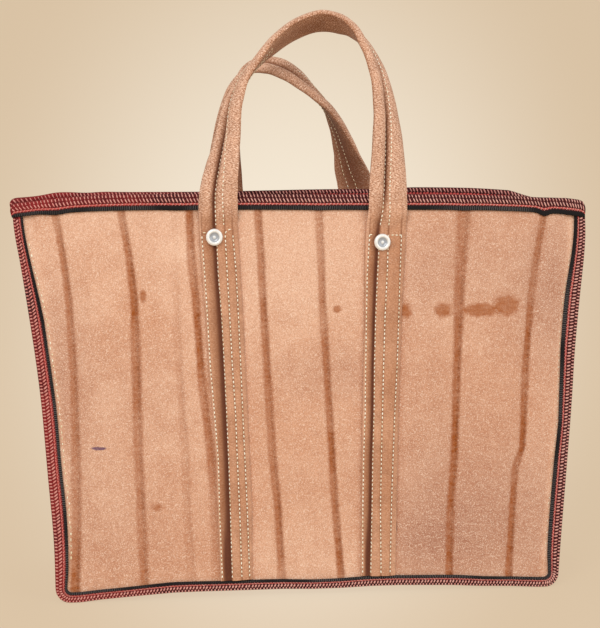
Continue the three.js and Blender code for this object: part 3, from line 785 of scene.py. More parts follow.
class Coat(Graph):
    """A material with one Principled shader."""

    def __init__(self, name: str) -> None:
        """Makes the material, its shader and the place that its patterns read."""
        self.material = bpy.data.materials.new(name)
        self.material.use_nodes = True
        super().__init__(self.material.node_tree)
        self.shader = self.add("ShaderNodeBsdfPrincipled")
        output = self.add("ShaderNodeOutputMaterial")
        self.tree.links.new(self.shader.outputs[0], output.inputs["Surface"])
        self.place = Value(self, self.add("ShaderNodeTexCoord").outputs["Object"])

    @cached_property
    def uv(self) -> Value:
        """The place on the flat leather or tape, in metres."""
        return Value(self, self.add("ShaderNodeUVMap", uv_map="UVMap").outputs[0])

    def attribute(self, name: str) -> Value:
        """Reads a number from the piece's vertices."""
        return Value(self, self.add("ShaderNodeAttribute", attribute_name=name).outputs["Fac"])

    def group(self, tree: bpy.types.NodeTree, **values: object) -> dict[str, Value]:
        """Places a shared effect, feeds its inputs by name and returns its outputs."""
        node = self.add("ShaderNodeGroup", node_tree=tree)
        self.feed(node, Vector=self.place, **values)
        return {socket.name: Value(self, socket) for socket in node.outputs}

    def finish(
        self, colour: Value, relief: Value, depth: float, strength: float, **sockets: object
    ) -> Material:
        """Feeds the shader and returns the material.

        Args:
            colour: Its colour.
            relief: Height of its relief, from 0 to 1.
            depth: How high the relief stands, in metres.
            strength: How much of the relief shows.
            sockets: The shader's other inputs by name, _ for a space.

        Returns:
            The finished material.
        """
        bump = self.feed(self.add("ShaderNodeBump"), Height=relief, Distance=depth, Strength=strength)
        self.feed(self.shader, Base_Color=colour, Normal=bump, **sockets)
        return self.material


class Effects:
    """The effects that several materials share, each built once."""

    @cached_property
    def nap(self) -> bpy.types.NodeTree:
        """Short brushed fibres: masks for the colour and a height for the bump."""
        effect = Effect("nap", Fibre=820.0, Scuff=260.0)
        fine = effect.noise(effect.place, effect.given["Fibre"], 1.0, 0.6)
        brushed = effect.stretch(effect.place, (0.55, 1.0, 1.35))
        scuff = effect.noise(brushed, effect.given["Scuff"], 4.0, 0.62, 0.4)
        sparse = effect.noise(effect.place, 1250.0, 0.0, 0.5)
        # Speck: sparse pale fibres, partly painted glints on the nap.
        return effect.give(Fleck=fine.ease(0.38, 0.64), Scuff=scuff.ease(0.34, 0.68),
                           Speck=sparse.ease(0.52, 0.74), Height=fine * 0.45 + scuff * 0.55)

    @cached_property
    def patches(self) -> bpy.types.NodeTree:
        """Slow patches of tone, from hand-sized down to finger-sized."""
        effect = Effect("patches", Size=9.0)
        size = effect.given["Size"]
        broad = effect.noise(effect.place, size, 2.0, 0.5, 0.3)
        small = effect.noise(effect.place, size * 5.0, 3.0, 0.6, 0.6)
        return effect.give(Broad=broad.ease(0.32, 0.68), Small=small.ease(0.34, 0.68))

    @cached_property
    def crease_wear(self) -> bpy.types.NodeTree:
        """Burnish along a crease, ragged at its edges and broken along its length.

        Returns:
            The group.
        """
        effect = Effect("crease_wear", Distance=30.0, Strength=1.0, Edge=0.0, Half_Width=3.8)
        given = effect.given
        ragged = effect.noise(effect.place, 760.0, 2.0, 0.75)
        slow = effect.noise(effect.place, 26.0, 2.0, 0.5)
        away = given["Distance"] + (ragged * 3.6 - 1.8) + (slow * 3.0 - 1.5)
        band = (1.0 - (away / given["Half Width"]).ease(0.55, 1.3)) * (ragged * 0.7 + 0.6)
        core = given["Edge"] * ragged.ease(0.35, 0.6)
        broken = slow.ease(0.3, 0.7) * 0.4 + 0.65
        strength = given["Strength"] * broken
        return effect.give(Band=(band * strength).clamped(), Core=(core * broken).clamped())

    @cached_property
    def stain(self) -> bpy.types.NodeTree:
        """One soft-edged spot on a panel, read from the piece's own place.

        Returns:
            The group.
        """
        effect = Effect("stain", X=0.0, Z=0.0, Half_Width=0.006, Half_Height=0.006, Softness=0.5)
        given = effect.given
        x, _, z = effect.parts(effect.place)
        shake = effect.noise(effect.place, 230.0, 3.0, 0.6) * 0.9 - 0.45
        across = (x - given["X"]) / given["Half Width"]
        height = (z - given["Z"]) / given["Half Height"]
        away = effect.math("SQRT", across * across + height * height) + shake
        return effect.give(Mask=((1.0 - away) / given["Softness"]).clamped())

    @cached_property
    def ribs(self) -> bpy.types.NodeTree:
        """Fine ribs across a tape, at a pitch along it, with uneven threads."""
        effect = Effect("ribs", Along=0.0, Pitch=0.0012)
        shake = effect.noise(effect.place, 160.0, 2.0, 0.5) * 1.6 - 0.8
        turns = effect.given["Along"] / effect.given["Pitch"] + shake
        wave = effect.math("SINE", turns * (2 * math.pi))
        speck = effect.noise(effect.place, 900.0, 2.0, 0.7)
        return effect.give(Rib=wave * 0.5 + 0.5, Speck=speck.ease(0.45, 0.7))


@dataclass(frozen=True)
class Stain:
    """A spot on the front panel: place, half sizes, softness of its edge and depth of colour."""

    x: float
    z: float
    wide: float
    high: float
    softness: float
    depth: float
    colour: Colour = linear(162, 92, 44)


FRONT_STAINS = (
    Stain(79, 241, 7, 8, 0.5, 0.9),
    Stain(113, 241, 10, 8, 0.5, 0.85),
    Stain(146, 240.5, 20, 7, 0.4, 0.85),
    Stain(170, 244, 14, 11, 0.4, 0.8),
    Stain(-141.5, 255, 3.5, 6.5, 0.5, 0.9),
    Stain(20.5, 243.5, 4.5, 4, 0.5, 0.9),
    Stain(-131, 78, 6, 4.5, 0.7, 0.75),
    Stain(72.5, 58, 1.3, 7, 0.5, 0.7, linear(60, 34, 52)),
    Stain(-179.5, 128, 8, 1.7, 0.4, 0.9, linear(84, 52, 96)),
)


@dataclass(frozen=True)
class Patch:
    """A soft lighter or darker area on the panels, partly painted light and shade and partly the leather's
    own tone: place, reach and tone from -1 to 1.
    """

    x: float
    z: float
    wide: float
    high: float
    tone: float


LIGHT_SHADE_AND_TONE_PATCHES = (
    Patch(-75, 300, 110, 55, 0.45), Patch(0, 285, 60, 60, 0.35), Patch(-112, 291, 11, 9, 1.0),
    Patch(205, 255, 50, 80, -0.4), Patch(170, 50, 90, 75, -0.6), Patch(100, 110, 60, 90, -0.25),
    Patch(-212, 170, 26, 110, -0.5), Patch(-160, 40, 70, 50, -0.25), Patch(15, 150, 26, 13, 0.35),
    Patch(0, 40, 45, 40, 0.3), Patch(-150, 170, 45, 80, -0.15), Patch(125, 290, 40, 50, -0.3),
    Patch(20, 190, 60, 30, -0.3), Patch(92, 38, 45, 35, -0.4), Patch(84, 272, 26, 45, -0.3),
    Patch(212, 262, 24, 60, -0.25),
)


@dataclass
class Wardrobe:
    """Makes each finish of the bag once."""

    effects: Effects = field(default_factory=Effects)

    def panel(self, face: Face, form: BagForm) -> Material:
        """The outer side of a panel: peach nap, burnished creases, scuffs and a few stains, with painted
        light and shade.

        Args:
            face: Which panel it is.
            form: The bag's form, for the place of the stains.

        Returns:
            The material.
        """
        nap, coat = PANEL_NAP, Coat(f"{face.label}_panel_nap")
        fibre, patches = coat.group(self.effects.nap), coat.group(self.effects.patches)
        tone = coat.attribute("tone")
        wear = coat.group(self.effects.crease_wear, Distance=coat.attribute("crease"),
                          Strength=coat.attribute("burnish"), Edge=coat.attribute("edge"))
        spots, marked = [], wear["Band"]
        for stain in FRONT_STAINS if face is Face.FRONT else ():
            spot = coat.group(
                self.effects.stain, X=(stain.x + form.shift) * MM, Z=stain.z * MM,
                Half_Width=stain.wide * MM, Half_Height=stain.high * MM, Softness=stain.softness,
            )
            spots.append((spot["Mask"] * stain.depth, stain.colour))
            marked = coat.math("MAXIMUM", marked, spots[-1][0])
        # Painted light in these layers: tone paints broad light and shade, shade paints the shadow beside
        # the straps, and Speck paints pale fibres that are partly painted glints.
        colour = coat.layers(
            nap.middle, (patches["Broad"] * 0.62, nap.light), (patches["Small"] * 0.45, nap.warm),
            ((tone * -1.0).clamped(), nap.shaded), ((tone * 1.0).clamped(), nap.light),
            (wear["Band"], nap.crease), (wear["Core"] * 0.7, nap.deep),
            (coat.attribute("shade"), nap.crease), *spots, (fibre["Scuff"] * 0.18, nap.light),
            (fibre["Fleck"] * 0.4, nap.fleck, "MULTIPLY"),
            (fibre["Speck"] * (0.5 - marked * 0.5), nap.hair),
        )
        return coat.finish(colour, fibre["Height"], 0.0006, 0.5, Roughness=nap.roughness,
                           Sheen_Weight=nap.sheen, Sheen_Roughness=0.5, Specular_IOR_Level=0.2)

    @cached_property
    def flesh(self) -> Material:
        """The rougher inner side of the leather, and all of the gusset."""
        nap, coat = PANEL_NAP, Coat("flesh_side")
        fibre = coat.group(self.effects.nap, Fibre=700.0, Scuff=190.0)
        patches = coat.group(self.effects.patches, Size=11.0)
        colour = coat.layers(nap.warm, (patches["Broad"], nap.middle),
                             (patches["Small"] * 0.3, nap.crease), (fibre["Scuff"] * 0.2, nap.light))
        return coat.finish(colour, fibre["Height"], 0.0008, 0.6, Roughness=0.95,
                           Sheen_Weight=0.2, Specular_IOR_Level=0.15)

    @cached_property
    def strap(self) -> Material:
        """The straps: browner nap, with painted shade in the groove, the recess and on the under side, and
        painted highlight on the edges and the upper face.

        Returns:
            The material.
        """
        nap, coat = STRAP_NAP, Coat("strap_nap")
        fibre = coat.group(self.effects.nap, Fibre=800.0, Scuff=240.0)
        patches = coat.group(self.effects.patches, Size=16.0)
        # shade is painted shade, deeper near the foot where the leather is also darker; light is painted
        # highlight; pale hairs fade where shade is painted.
        shade, light = coat.attribute("shade"), coat.attribute("light")
        hair = coat.noise(coat.stretch(coat.uv, (1.0, 0.45, 1.0), 0.7), 1250.0, 1.0, 0.6)
        loose = coat.attribute("free") * 0.75 + 0.25
        dark_hair = hair.ease(0.5, 0.64) * 0.62 * loose
        pale_hair = ((1.0 - hair.ease(0.36, 0.5)) * (0.9 - shade)).clamped()
        colour = coat.layers(
            nap.warm, (patches["Broad"], nap.middle), (light * 0.85, nap.light),
            (patches["Small"] * 0.25, nap.crease), (shade, nap.crease),
            (shade.ease(0.55, 1.0) * 0.85, nap.deep), (dark_hair, nap.crease),
            (pale_hair * (loose * (fibre["Scuff"] * 0.75 + 0.45)), nap.hair),
            (fibre["Fleck"] * 0.2, nap.crease),
        )
        return coat.finish(colour, fibre["Height"], 0.0006, 0.55, Roughness=nap.roughness,
                           Sheen_Weight=nap.sheen, Specular_IOR_Level=0.2)

    @cached_property
    def tape(self) -> Material:
        """The tape under its yarn: maroon ground that is partly painted shade between the strokes, red line
        and black ribbed selvedge.

        Returns:
            The material.
        """
        coat = Coat("tape_ground")
        along, down, _ = coat.parts(coat.uv)
        across = coat.parts(coat.place)[0]
        ribs = coat.group(self.effects.ribs, Along=along, Pitch=0.0017)
        depth = down + (coat.noise(coat.place, 700.0, 2.0, 0.6) * 0.0010 - 0.0005)
        tone = coat.noise(coat.place, 22.0, 2.0, 0.5)
        redder = (1.0 - across.ease(-0.24, -0.02)) * tone.ease(0.3, 0.6)
        rib = ribs["Rib"].ease(0.55, 1.0) * 0.75 * tone.ease(0.35, 0.65)
        # The dark ground is partly painted shade in the gaps between the strokes.
        colour = coat.layers(
            BRAID.ground, (redder, BRAID.ground_red), (ribs["Speck"] * 0.2, BRAID.line),
            (depth.ease(0.0065, 0.0070) * depth.ease(0.0081, 0.0076),
             coat.layers(BRAID.line, (ribs["Speck"] * 0.5, BRAID.pink))),
            (depth.ease(0.0083, 0.0089), coat.layers(BRAID.selvedge, (rib, BRAID.selvedge_rib))),
        )
        return coat.finish(colour, ribs["Rib"], 0.0003, 0.6, Roughness=0.85, Specular_IOR_Level=0.25)

    @cached_property
    def yarn(self) -> Material:
        """The pale yarn strokes of the braid.

        Returns:
            The material.
        """
        coat = Coat("braid_yarn")
        left = 1.0 - coat.parts(coat.place)[0].ease(-0.24, -0.05)
        tone = coat.attribute("tone")
        ends = coat.math("ABSOLUTE", coat.attribute("run")).ease(0.6, 1.0)
        fuzz = coat.noise(coat.place, 2200.0, 2.0, 0.6)
        colour = coat.layers(
            BRAID.pale, ((tone + left * 0.45).clamped(), BRAID.pink),
            (((tone - 0.9).clamped() * 1.2).clamped(), BRAID.rose),
            (ends * 0.75, BRAID.ground_red), (fuzz * 0.3, BRAID.ground),
        )
        return coat.finish(colour, fuzz, 0.0002, 0.5, Roughness=0.8, Specular_IOR_Level=0.3)

    @cached_property
    def thread(self) -> Material:
        """The cream sewing thread."""
        coat = Coat("sewing_thread")
        fuzz = coat.noise(coat.place, 2600.0, 2.0, 0.6)
        colour = coat.layers(THREAD.new, (coat.attribute("tone"), THREAD.used), (fuzz * 0.2, THREAD.deep))
        return coat.finish(colour, fuzz, 0.0002, 0.4, Roughness=0.6)

    @cached_property
    def metal(self) -> Material:
        """The rivets' white metal, with faint handling marks and painted shade and reflection in its dished
        middle.
        """
        coat = Coat("white_metal")
        rub = coat.noise(coat.place, 600.0, 4.0, 0.7)
        # The dished middle gets blue-grey painted shade and reflection.
        colour = coat.layers(WHITE_METAL.new, (rub.ease(0.5, 0.8), WHITE_METAL.used),
                             (coat.attribute("dish") * 0.8, WHITE_METAL.deep))
        return coat.finish(colour, rub, 0.0001, 0.3, Roughness=rub * 0.25 + 0.18, Metallic=0.25)


# Leather sheets


@dataclass
class Panel:
    """One face of the bag: a single cut of leather with burnished creases."""

    form: BagForm
    face: Face
    row_pitch: float = 3.0
    column_pitch: float = 3.6
    flanks: tuple[float, ...] = (1.0, 1.8, 2.7, 3.8, 5.2, 7.0)
    level_rows: float = 230.0
    strap_shade: float = 0.22

    def raw_x(self, side: int, z: Array) -> Array:
        """Raw edge of the leather at height z, round the lower corner too."""
        form = self.form
        outer = side * form.side_x(side, z)
        radius = form.corner - form.raw_edge
        drop = np.clip(form.corner - z, 0, radius)
        round_x = outer - form.corner + np.sqrt(np.maximum(radius**2 - drop**2, 0))
        return side * np.where(z >= form.corner, outer - form.raw_edge, round_x)

    def between(self, a: Line, b: Line, rim_width: float, last: bool = False) -> list[Line]:
        """Columns from one line towards another, and on it where it is the last."""
        count = max(1, round(rim_width / self.column_pitch))

        def line(z: Array, share: float) -> Array:
            """The line at a share of the way."""
            return mix(a(z), b(z), share)

        return [partial(line, share=k / count) for k in range(count + last)]

    def columns(self) -> list[Line]:
        """Place across at height z of each column, both edges and all creases among them.

        Returns:
            The columns as lines, from left to right.
        """
        form, flank = self.form, self.flanks[-1]
        before, final = partial(form.seam_mark, -1), partial(form.seam_mark, 1)
        columns = self.between(partial(self.raw_x, -1), before, form.leg)
        reached = float(before(form.rim_height))
        for crease in CREASES:

            def left(z: Array, step: float, b: Line = before, c: Line = crease.at) -> Array:
                """A line left of the crease, drawn in where the one before is near."""
                return np.maximum(c(z) - step, mix(b(z), c(z), 1 - step / (flank + 2)))

            def right(z: Array, step: float, c: Line = crease.at) -> Array:
                """A line right of the crease."""
                return c(z) + step

            columns += self.between(before, partial(left, step=flank), crease.places[-1] - flank - reached)
            columns += [partial(left, step=step) for step in reversed(self.flanks)]
            columns += [partial(right, step=step) for step in (0.0, *self.flanks[:-1])]
            before, reached = partial(right, step=flank), crease.places[-1] + flank
        columns += self.between(before, final, float(final(form.rim_height)) - reached)
        return columns + self.between(final, partial(self.raw_x, 1), form.leg, last=True)

    def build(self, wardrobe: Wardrobe) -> Object:
        """Lays, thickens and dresses the panel.

        Args:
            wardrobe: Makes the finishes.

        Returns:
            The finished panel.
        """
        form, label = self.form, self.face.label
        top = form.rim_height - form.raw_edge
        rows = np.linspace(form.raw_edge, top, round((top - form.raw_edge) / self.row_pitch))[:, None]
        columns = self.columns()
        z = np.repeat(rows, len(columns), axis=1)
        for _ in range(4):
            x = np.column_stack([column(z[:, j]) for j, column in enumerate(columns)])
            over = np.minimum(form.rim_top(self.face, x), form.tape_top(self.face, x))
            z = rows + (over - form.raw_edge - top) * smoothstep(self.level_rows, top, rows)
        out = form.plain_out(x, z) + form.puff_out(self.face, x, z) - form.trough(x, z)
        points = form.metres(x, self.face.value * out, z + form.floor_lift(x, z))
        materials = (wardrobe.panel(self.face, form), wardrobe.flesh)
        piece = place_grid(f"{label}_panel_leather", points, (x, z), materials, self.marks(x, z))
        if self.face is Face.BACK:
            edit(piece, FLIP)
        thicken(piece, form.leather, use_even_offset=True, material_offset=1, material_offset_rim=1)
        smooth(piece, 50)
        declare(piece, f"{label}_panel", Slot.PANEL)
        return piece

    def marks(self, x: Array, z: Array) -> dict[str, Array]:
        """Distance to the nearest crease, its burnish, its darker edge, painted shadow beside the straps
        and tone.

        Args:
            x: Places across.
            z: Heights.

        Returns:
            The attributes by name.
        """
        form = self.form
        nearest, burnish, edge = np.full(x.shape, 40.0), np.zeros(x.shape), np.zeros(x.shape)
        for crease in CREASES:
            away = (x - crease.at(z)) / np.interp(z, WIDTH_HEIGHTS, crease.widths)
            tone = np.interp(z, CREASE_HEIGHTS, crease.tones)
            burnish = np.where(np.abs(away) < nearest, tone, burnish)
            nearest = np.minimum(np.abs(away), nearest)
            edge += tone * hump(away, 1.9, 1.5)
        # Painted shadow on the panel beside each strap.
        shade = [
            self.strap_shade * (1 - smoothstep(-1, 6, strap.beside(x + 0.8, z)))
            for strap in STRAPS[self.face]
        ]
        # Painted light and shade, darker low on the right, mixed with the leather's own uneven tone;
        # lighter just inside the side tapes.
        tone = sum(p.tone * hump(x, p.x, p.wide) * hump(z, p.z, p.high) for p in LIGHT_SHADE_AND_TONE_PATCHES)
        beside = np.minimum(x - form.side_x(-1, z), form.side_x(1, z) - x) - form.leg
        tone = tone + 0.6 * hump(beside, 1.5, 3.0)
        return {
            "crease": nearest, "burnish": burnish, "edge": edge, "shade": np.maximum(*shade),
            "tone": tone,
        }


@dataclass
class SeamPath:
    """The line of a panel's outer fold, from one end of the rim round the floor to the other."""

    form: BagForm
    step: float = 3.0
    turn_steps: int = 8
    settled: float = 21.0
    left_at: tuple[float, ...] = (12, 40, 90, 190, 230, 251, 280, 308)
    left_wide: tuple[float, ...] = (0.93, 0.97, 1.01, 1.01, 0.97, 0.88, 0.74, 0.68)
    right_at: tuple[float, ...] = (12, 40, 75, 110, 140, 168, 205, 243, 262, 280, 299, 315)
    right_wide: tuple[float, ...] = (0.95, 1.04, 1.02, 1.05, 0.97, 1.08, 1.22, 1.21, 1.17, 1.08, 0.98, 0.9)
    floor_wide: float = 0.8

    def side(self, which: int, z: float) -> Array:
        """Fold and inward direction on one side at height z."""
        form = self.form
        slope = (form.side_x(which, z + 1) - form.side_x(which, z - 1)) / 2
        inward = unit(np.array([-which, which * slope * (1 - smoothstep(230, 305, z))]))
        if z < self.settled:
            share = (z - form.corner) / (self.settled - form.corner)
            inward = mix(self.turn(which, 0.0)[2:], inward, share)
        return np.array([form.side_x(which, z), z, *inward])

    def turn(self, which: int, share: float) -> Array:
        """Fold and inward direction round a lower corner, by a share of its quarter turn.

        Args:
            which: -1 for the left corner, 1 for the right.
            share: Share of the quarter turn, from the side.

        Returns:
            Fold x, fold z, inward x and inward z.
        """
        form = self.form
        angle = share * math.pi / 2
        ray = np.array([which * math.cos(angle), -math.sin(angle)])
        edge = float(form.side_x(which, form.corner))
        fold = np.array([edge - which * form.corner, form.corner]) + ray * form.corner
        far = form.corner + form.inner_corner
        inside = np.array([edge - which * far, far]) + ray * form.inner_corner
        inward = (inside - fold) / form.leg * np.array([1, mix(1, form.floor_share, share)])
        return np.concatenate([fold, inward])

    def floor(self, x: float) -> Array:
        """Fold and inward direction along the floor."""
        half = self.form.floor_half - self.form.corner
        start = 0.94 * half
        inward = np.array([0.0, self.form.floor_share])
        if abs(x) > start:
            corner = self.turn(1 if x > 0 else -1, 1.0)[2:]
            inward = mix(inward, corner, (abs(x) - start) / (half - start))
        return np.array([x, 0.0, *inward])

    def stations(self, tops: Sequence[float]) -> Array:
        """Fold and inward direction at every station.

        Args:
            tops: Height of the first and of the last station.

        Returns:
            One row for each station: running length, fold x, fold z, inward x, inward z,
            share of the leg's full width, lean of the strokes.
        """
        form = self.form
        half = form.floor_half - form.corner
        down, rise = (np.arange(top, form.corner, -self.step) for top in tops)
        floor = np.linspace(-half, half, round(2 * half / self.step) + 1)[1:-1]
        table = np.array([
            *(self.side(-1, z) for z in down),
            *(self.turn(-1, share) for share in np.linspace(0, 1, self.turn_steps)),
            *(self.floor(x) for x in floor),
            *(self.turn(1, share) for share in np.linspace(1, 0, self.turn_steps)),
            *(self.side(1, z) for z in rise[::-1]),
        ])
        table = table[np.diff(lengths(table[:, :2]), prepend=-1.0) > 0.05]
        x, z = table[:, 0], table[:, 1]
        left = np.interp(z, self.left_at, self.left_wide)
        right = np.interp(z, self.right_at, self.right_wide)
        low = smoothstep(3, 30, z)
        wide = mix(self.floor_wide, np.where(x < 0, left, right), low)
        lean = mix(1.5, np.where(x < 0, -2.7, -1.0), low)
        return np.column_stack([lengths(table[:, :2]), table, wide, lean])


@dataclass
class Gusset:
    """The strip down one side, along the floor and up the other side, folded inwards."""

    form: BagForm
    shares: int = 26
    flange: tuple[float, ...] = (4.5, 7.0, 9.5, 11.8)
    end_half: float = 10.0
    fold_rise: tuple[float, float] = (14, 70)
    fold_share: float = 0.85
    roundness: float = 0.35
    sag_zone: tuple[float, float] = (3, 25)
    lift_half: float = 54.0

    def half(self, face: Face, station: Array) -> Array:
        """One side of the strip at a station, from its raw edge to its middle line.

        Args:
            face: The panel to which this side is sewn.
            station: A row of SeamPath.stations.

        Returns:
            The points, in millimetres.
        """
        form = self.form
        fold_x, fold_z, in_x, in_z = station[1:5]
        seam_depth = form.leg + form.gap + form.leather / 2
        depths = np.array([form.raw_edge, *self.flange, seam_depth])
        outs = form.plain_out(fold_x + in_x * depths, fold_z + in_z * depths) - form.gusset_layer
        seam_out = abs(outs[-1])
        floor_share = 1 - smoothstep(form.corner, 40, fold_z)
        cut = form.out_floor - form.gusset_layer
        slack = math.sqrt(max(0.0, (cut**2 - seam_out**2) * self.fold_share))
        fold = smoothstep(*self.fold_rise, fold_z) * slack
        sag_depth = seam_depth - form.leather / 2 / max(in_z, 0.4)
        share = np.linspace(0, 1, self.shares)
        turn = share * math.pi / 2
        width = mix(seam_out, max(seam_out, self.end_half), np.sin(turn) ** 2)
        round_out = width * mix(np.cos(turn), 1 - share, self.roundness)
        sag = sag_depth * smoothstep(*self.sag_zone, seam_out * share)
        outs = np.concatenate([outs[:-1], mix(round_out, seam_out * (1 - share), floor_share)])
        inner = seam_depth + mix(fold * np.sin(turn), -sag, floor_share)
        depths = np.concatenate([depths[:-1], inner])
        level = 1 - np.minimum(1.0, seam_out * share / self.lift_half) * floor_share
        lifts = np.concatenate([np.ones(5), level])
        x, z = fold_x + in_x * depths, fold_z + in_z * depths
        return np.column_stack([x, face.value * outs, z + lifts * form.floor_lift(x, z)])

    def build(self, wardrobe: Wardrobe) -> Object:
        """Lays, thickens and dresses the strip.

        Args:
            wardrobe: Makes the finishes.

        Returns:
            The finished strip.
        """
        form = self.form
        tops = [form.rim_line(Face.BACK, form.rim_end(side)) - form.leg - 1.5 for side in (-1, 1)]
        stations = SeamPath(form, 4.0).stations(tops)
        grid = np.array([
            np.vstack([self.half(Face.FRONT, station), self.half(Face.BACK, station)[-2::-1]])
            for station in stations
        ])
        runs = np.array([lengths(row) - lengths(row)[-1] / 2 for row in grid])
        piece = place_grid("gusset_leather", form.placed(grid), (stations[:, :1], runs), [wardrobe.flesh])
        thicken(piece, form.leather, use_even_offset=False)
        edit(piece, OUTWARDS)
        smooth(piece, 50)
        declare(piece, "gusset", Slot.PANEL)
        return piece


# Braided tape


@dataclass(frozen=True)
class YarnRow:
    """A row of slanting strokes: depths from the fold, lean along the tape, and thickness."""

    start: float
    end: float
    lean: float
    hook: float
    half_width: float
    tone: float
    offset: float = 0.0


# Depth from the fold, and height on the tape's face, from the selvedge to the fold
TAPE_FACE = (
    (12.0, -1.0), (12.0, -0.3), (11.75, 0.15), (11.0, 0.45), (9.7, 0.42), (8.8, 0.1),
    (8.4, -0.35), (8.0, -0.2), (7.3, -0.1), (6.8, -0.3), (6.45, -0.55), (6.1, -0.3), (5.0, -0.1),
    (3.8, -0.15), (3.3, -0.5), (2.6, -0.3), (1.5, -0.6), (0.75, -1.15), (0.25, -1.9),
    (0.0, -2.9),
)
SEAM_ROWS = (
    YarnRow(0.4, 3.1, 0.0, 0.2, 0.62, 0.1),
    YarnRow(3.3, 6.4, 1.0, 0.3, 0.66, 0.15, 1.4),
    YarnRow(6.7, 7.9, 0.4, 0.0, 0.75, 0.6, 1.4),
    YarnRow(7.8, 8.5, 0.2, 0.0, 0.32, 0.2, 0.2),
)
RIM_ROWS = (
    YarnRow(0.15, 2.5, 0.9, 0.0, 0.5, 0.05),
    YarnRow(2.7, 6.2, 2.3, 0.5, 0.54, 0.0, 1.2),
    YarnRow(6.7, 7.8, 0.5, 0.0, 0.8, 0.6, 1.2),
    YarnRow(7.7, 8.4, 0.2, 0.0, 0.34, 0.1, 0.4),
)
INNER_ROWS = (
    YarnRow(0.3, 3.4, 2.0, 0.3, 0.55, 0.3),
    YarnRow(3.6, 5.4, 1.2, 0.0, 1.4, 1.9),
)


@dataclass
class Tape:
    """What seam and rim tapes share: their section, their yarn and how they are declared."""

    form: BagForm
    face: Face
    rng: np.random.Generator
    kind: ClassVar[str]
    rows: ClassVar[dict[bool, tuple[YarnRow, ...]]]
    pitch: ClassVar[float]
    spread: ClassVar[float]
    flat_width: ClassVar[float] = 0.032
    place_shake: ClassVar[float] = 0.12
    depth_shake: ClassVar[float] = 0.08
    lean_shake: ClassVar[float] = 0.15
    tone_shake: ClassVar[float] = 0.14
    yarn_widths: ClassVar[tuple[float, float]] = (0.88, 1.12)
    yarn_thick: ClassVar[float] = 0.42
    overlap: ClassVar[float] = 1.04

    def at(self, along: Array, depth: Array, height: Array, outer: Array | bool) -> Array:
        """Point at a length along, a depth from the fold and a height on a face."""
        raise NotImplementedError

    def along(self) -> Array:
        """The tape's stations, as lengths along it."""
        raise NotImplementedError

    def span(self) -> tuple[float, float]:
        """Where the yarn starts and ends along the tape."""
        raise NotImplementedError

    def lean(self, place: Array) -> Array | float:
        """How much a row's strokes lean at a running length, times the row's own lean."""
        return 1.0

    def rests_on(self) -> list[str]:
        """The sheets that the tape clasps."""
        return [f"{self.face.label}_panel_leather"]

    def surface(self, outer: bool) -> Surface:
        """The outer or inner face of the tape, as a point at a length and a depth."""
        depths, heights = np.array(sorted(TAPE_FACE[1:])).T

        def face(along: Array, depth: Array) -> Array:
            """Point on the face at a length along and a depth."""
            return self.at(along, depth, np.interp(depth, depths, heights), outer)

        return face

    def yarn(self, material: Material, pip: Pip) -> Object:
        """Lays all strokes of both faces of the tape.

        Args:
            material: The yarn.
            pip: The spindle that is copied.

        Returns:
            The strokes as one piece.
        """
        start, end = self.span()
        count = int((end - start) / self.pitch)
        rng, parts = self.rng, []
        for side, rows in self.rows.items():
            for row in rows:
                place = start + (np.arange(count) + 0.5) * self.pitch + row.offset
                place = place + rng.normal(0, self.place_shake, count)
                mid = (row.start + row.end) / 2 * self.spread + rng.normal(0, self.depth_shake, count)
                lean = row.lean * self.lean(place) + rng.normal(0, self.lean_shake, count)
                wide = row.half_width * rng.uniform(*self.yarn_widths, count)
                tone = np.clip(row.tone + rng.normal(0, self.tone_shake, count), 0, 2)
                reach = (row.end - row.start) / 2 * self.overlap * self.spread
                same = np.repeat([[reach], [row.hook], [side]], count, axis=1)
                parts.append(np.vstack([place, mid, lean / 2, wide, tone, same]))
        at, depth, half_run, wide, tone, half_depth, hook, outer = np.hstack(parts)

        def path(level: float) -> tuple[Array, Array, Array]:
            """Points and directions at a share of every stroke's length.

            Args:
                level: The share, -1 to 1.

            Returns:
                The points, the directions along and the directions out.
            """
            run = at + half_run * level + hook * (level**2 - 0.5) * 0.5
            down = np.maximum(depth + half_depth * level, 0.02)
            slope = half_run + hook * level
            here, ahead, out = np.empty((3, len(at), 3))
            for side in (True, False):
                which, surface = outer == side, self.surface(side)
                toward = np.array([0.0, self.face.value * (1 if side else -1), 0.0])
                point, along, normal = surface_frame(surface, run[which], down[which], toward)
                inward = np.cross(normal, along)
                step = surface(run[which], down[which] + 0.2) - point
                inward *= np.sign(np.sum(inward * step, axis=-1, keepdims=True))
                ahead[which] = unit(along * slope[which, None] + inward * half_depth[which, None])
                here[which] = point + normal * (0.12 + 0.22 * (1 - level**2)) * MM
                out[which] = normal
            return here, ahead, out

        name, size = f"{self.face.label}_{self.kind}_yarn", (wide, self.yarn_thick)
        return pip.lay(name, path, len(at), size, tone, material)

    def build(self, wardrobe: Wardrobe, pip: Pip) -> list[Object]:
        """Models the folded tape, a closed hairpin section, and its yarn.

        Args:
            wardrobe: Makes the finishes.
            pip: The spindle that is copied.

        Returns:
            The tape and its yarn.
        """
        label, inside = self.face.label, self.form.tape
        section = [(d, h, True) for d, h in TAPE_FACE] + [(d, h, False) for d, h in reversed(TAPE_FACE)]
        section += [(12.0, -inside, False), (inside, -inside, False), (inside, -inside, True),
                    (12.0, -inside, True)]
        pattern = [d for d, _, _ in section[:-4]] + [12.0] * 4
        depth, height, outer = np.array([*section, section[0]]).T
        along = np.repeat(self.along()[:, None], len(depth), axis=1)
        uv = along, np.array([*pattern, pattern[0]]) / self.spread
        grid = self.at(along, depth, height, outer > 0)
        body = place_grid(f"{label}_{self.kind}_tape", grid, uv, [wardrobe.tape])
        edit(body, MERGE, CAP, OUTWARDS)
        smooth(body, 60)
        yarn = self.yarn(wardrobe.yarn, pip)
        for piece in (body, yarn):
            declare(piece, f"{label}_{self.kind}_binding", Slot.BRAID)
        self.rests_on()
        return [body, yarn]


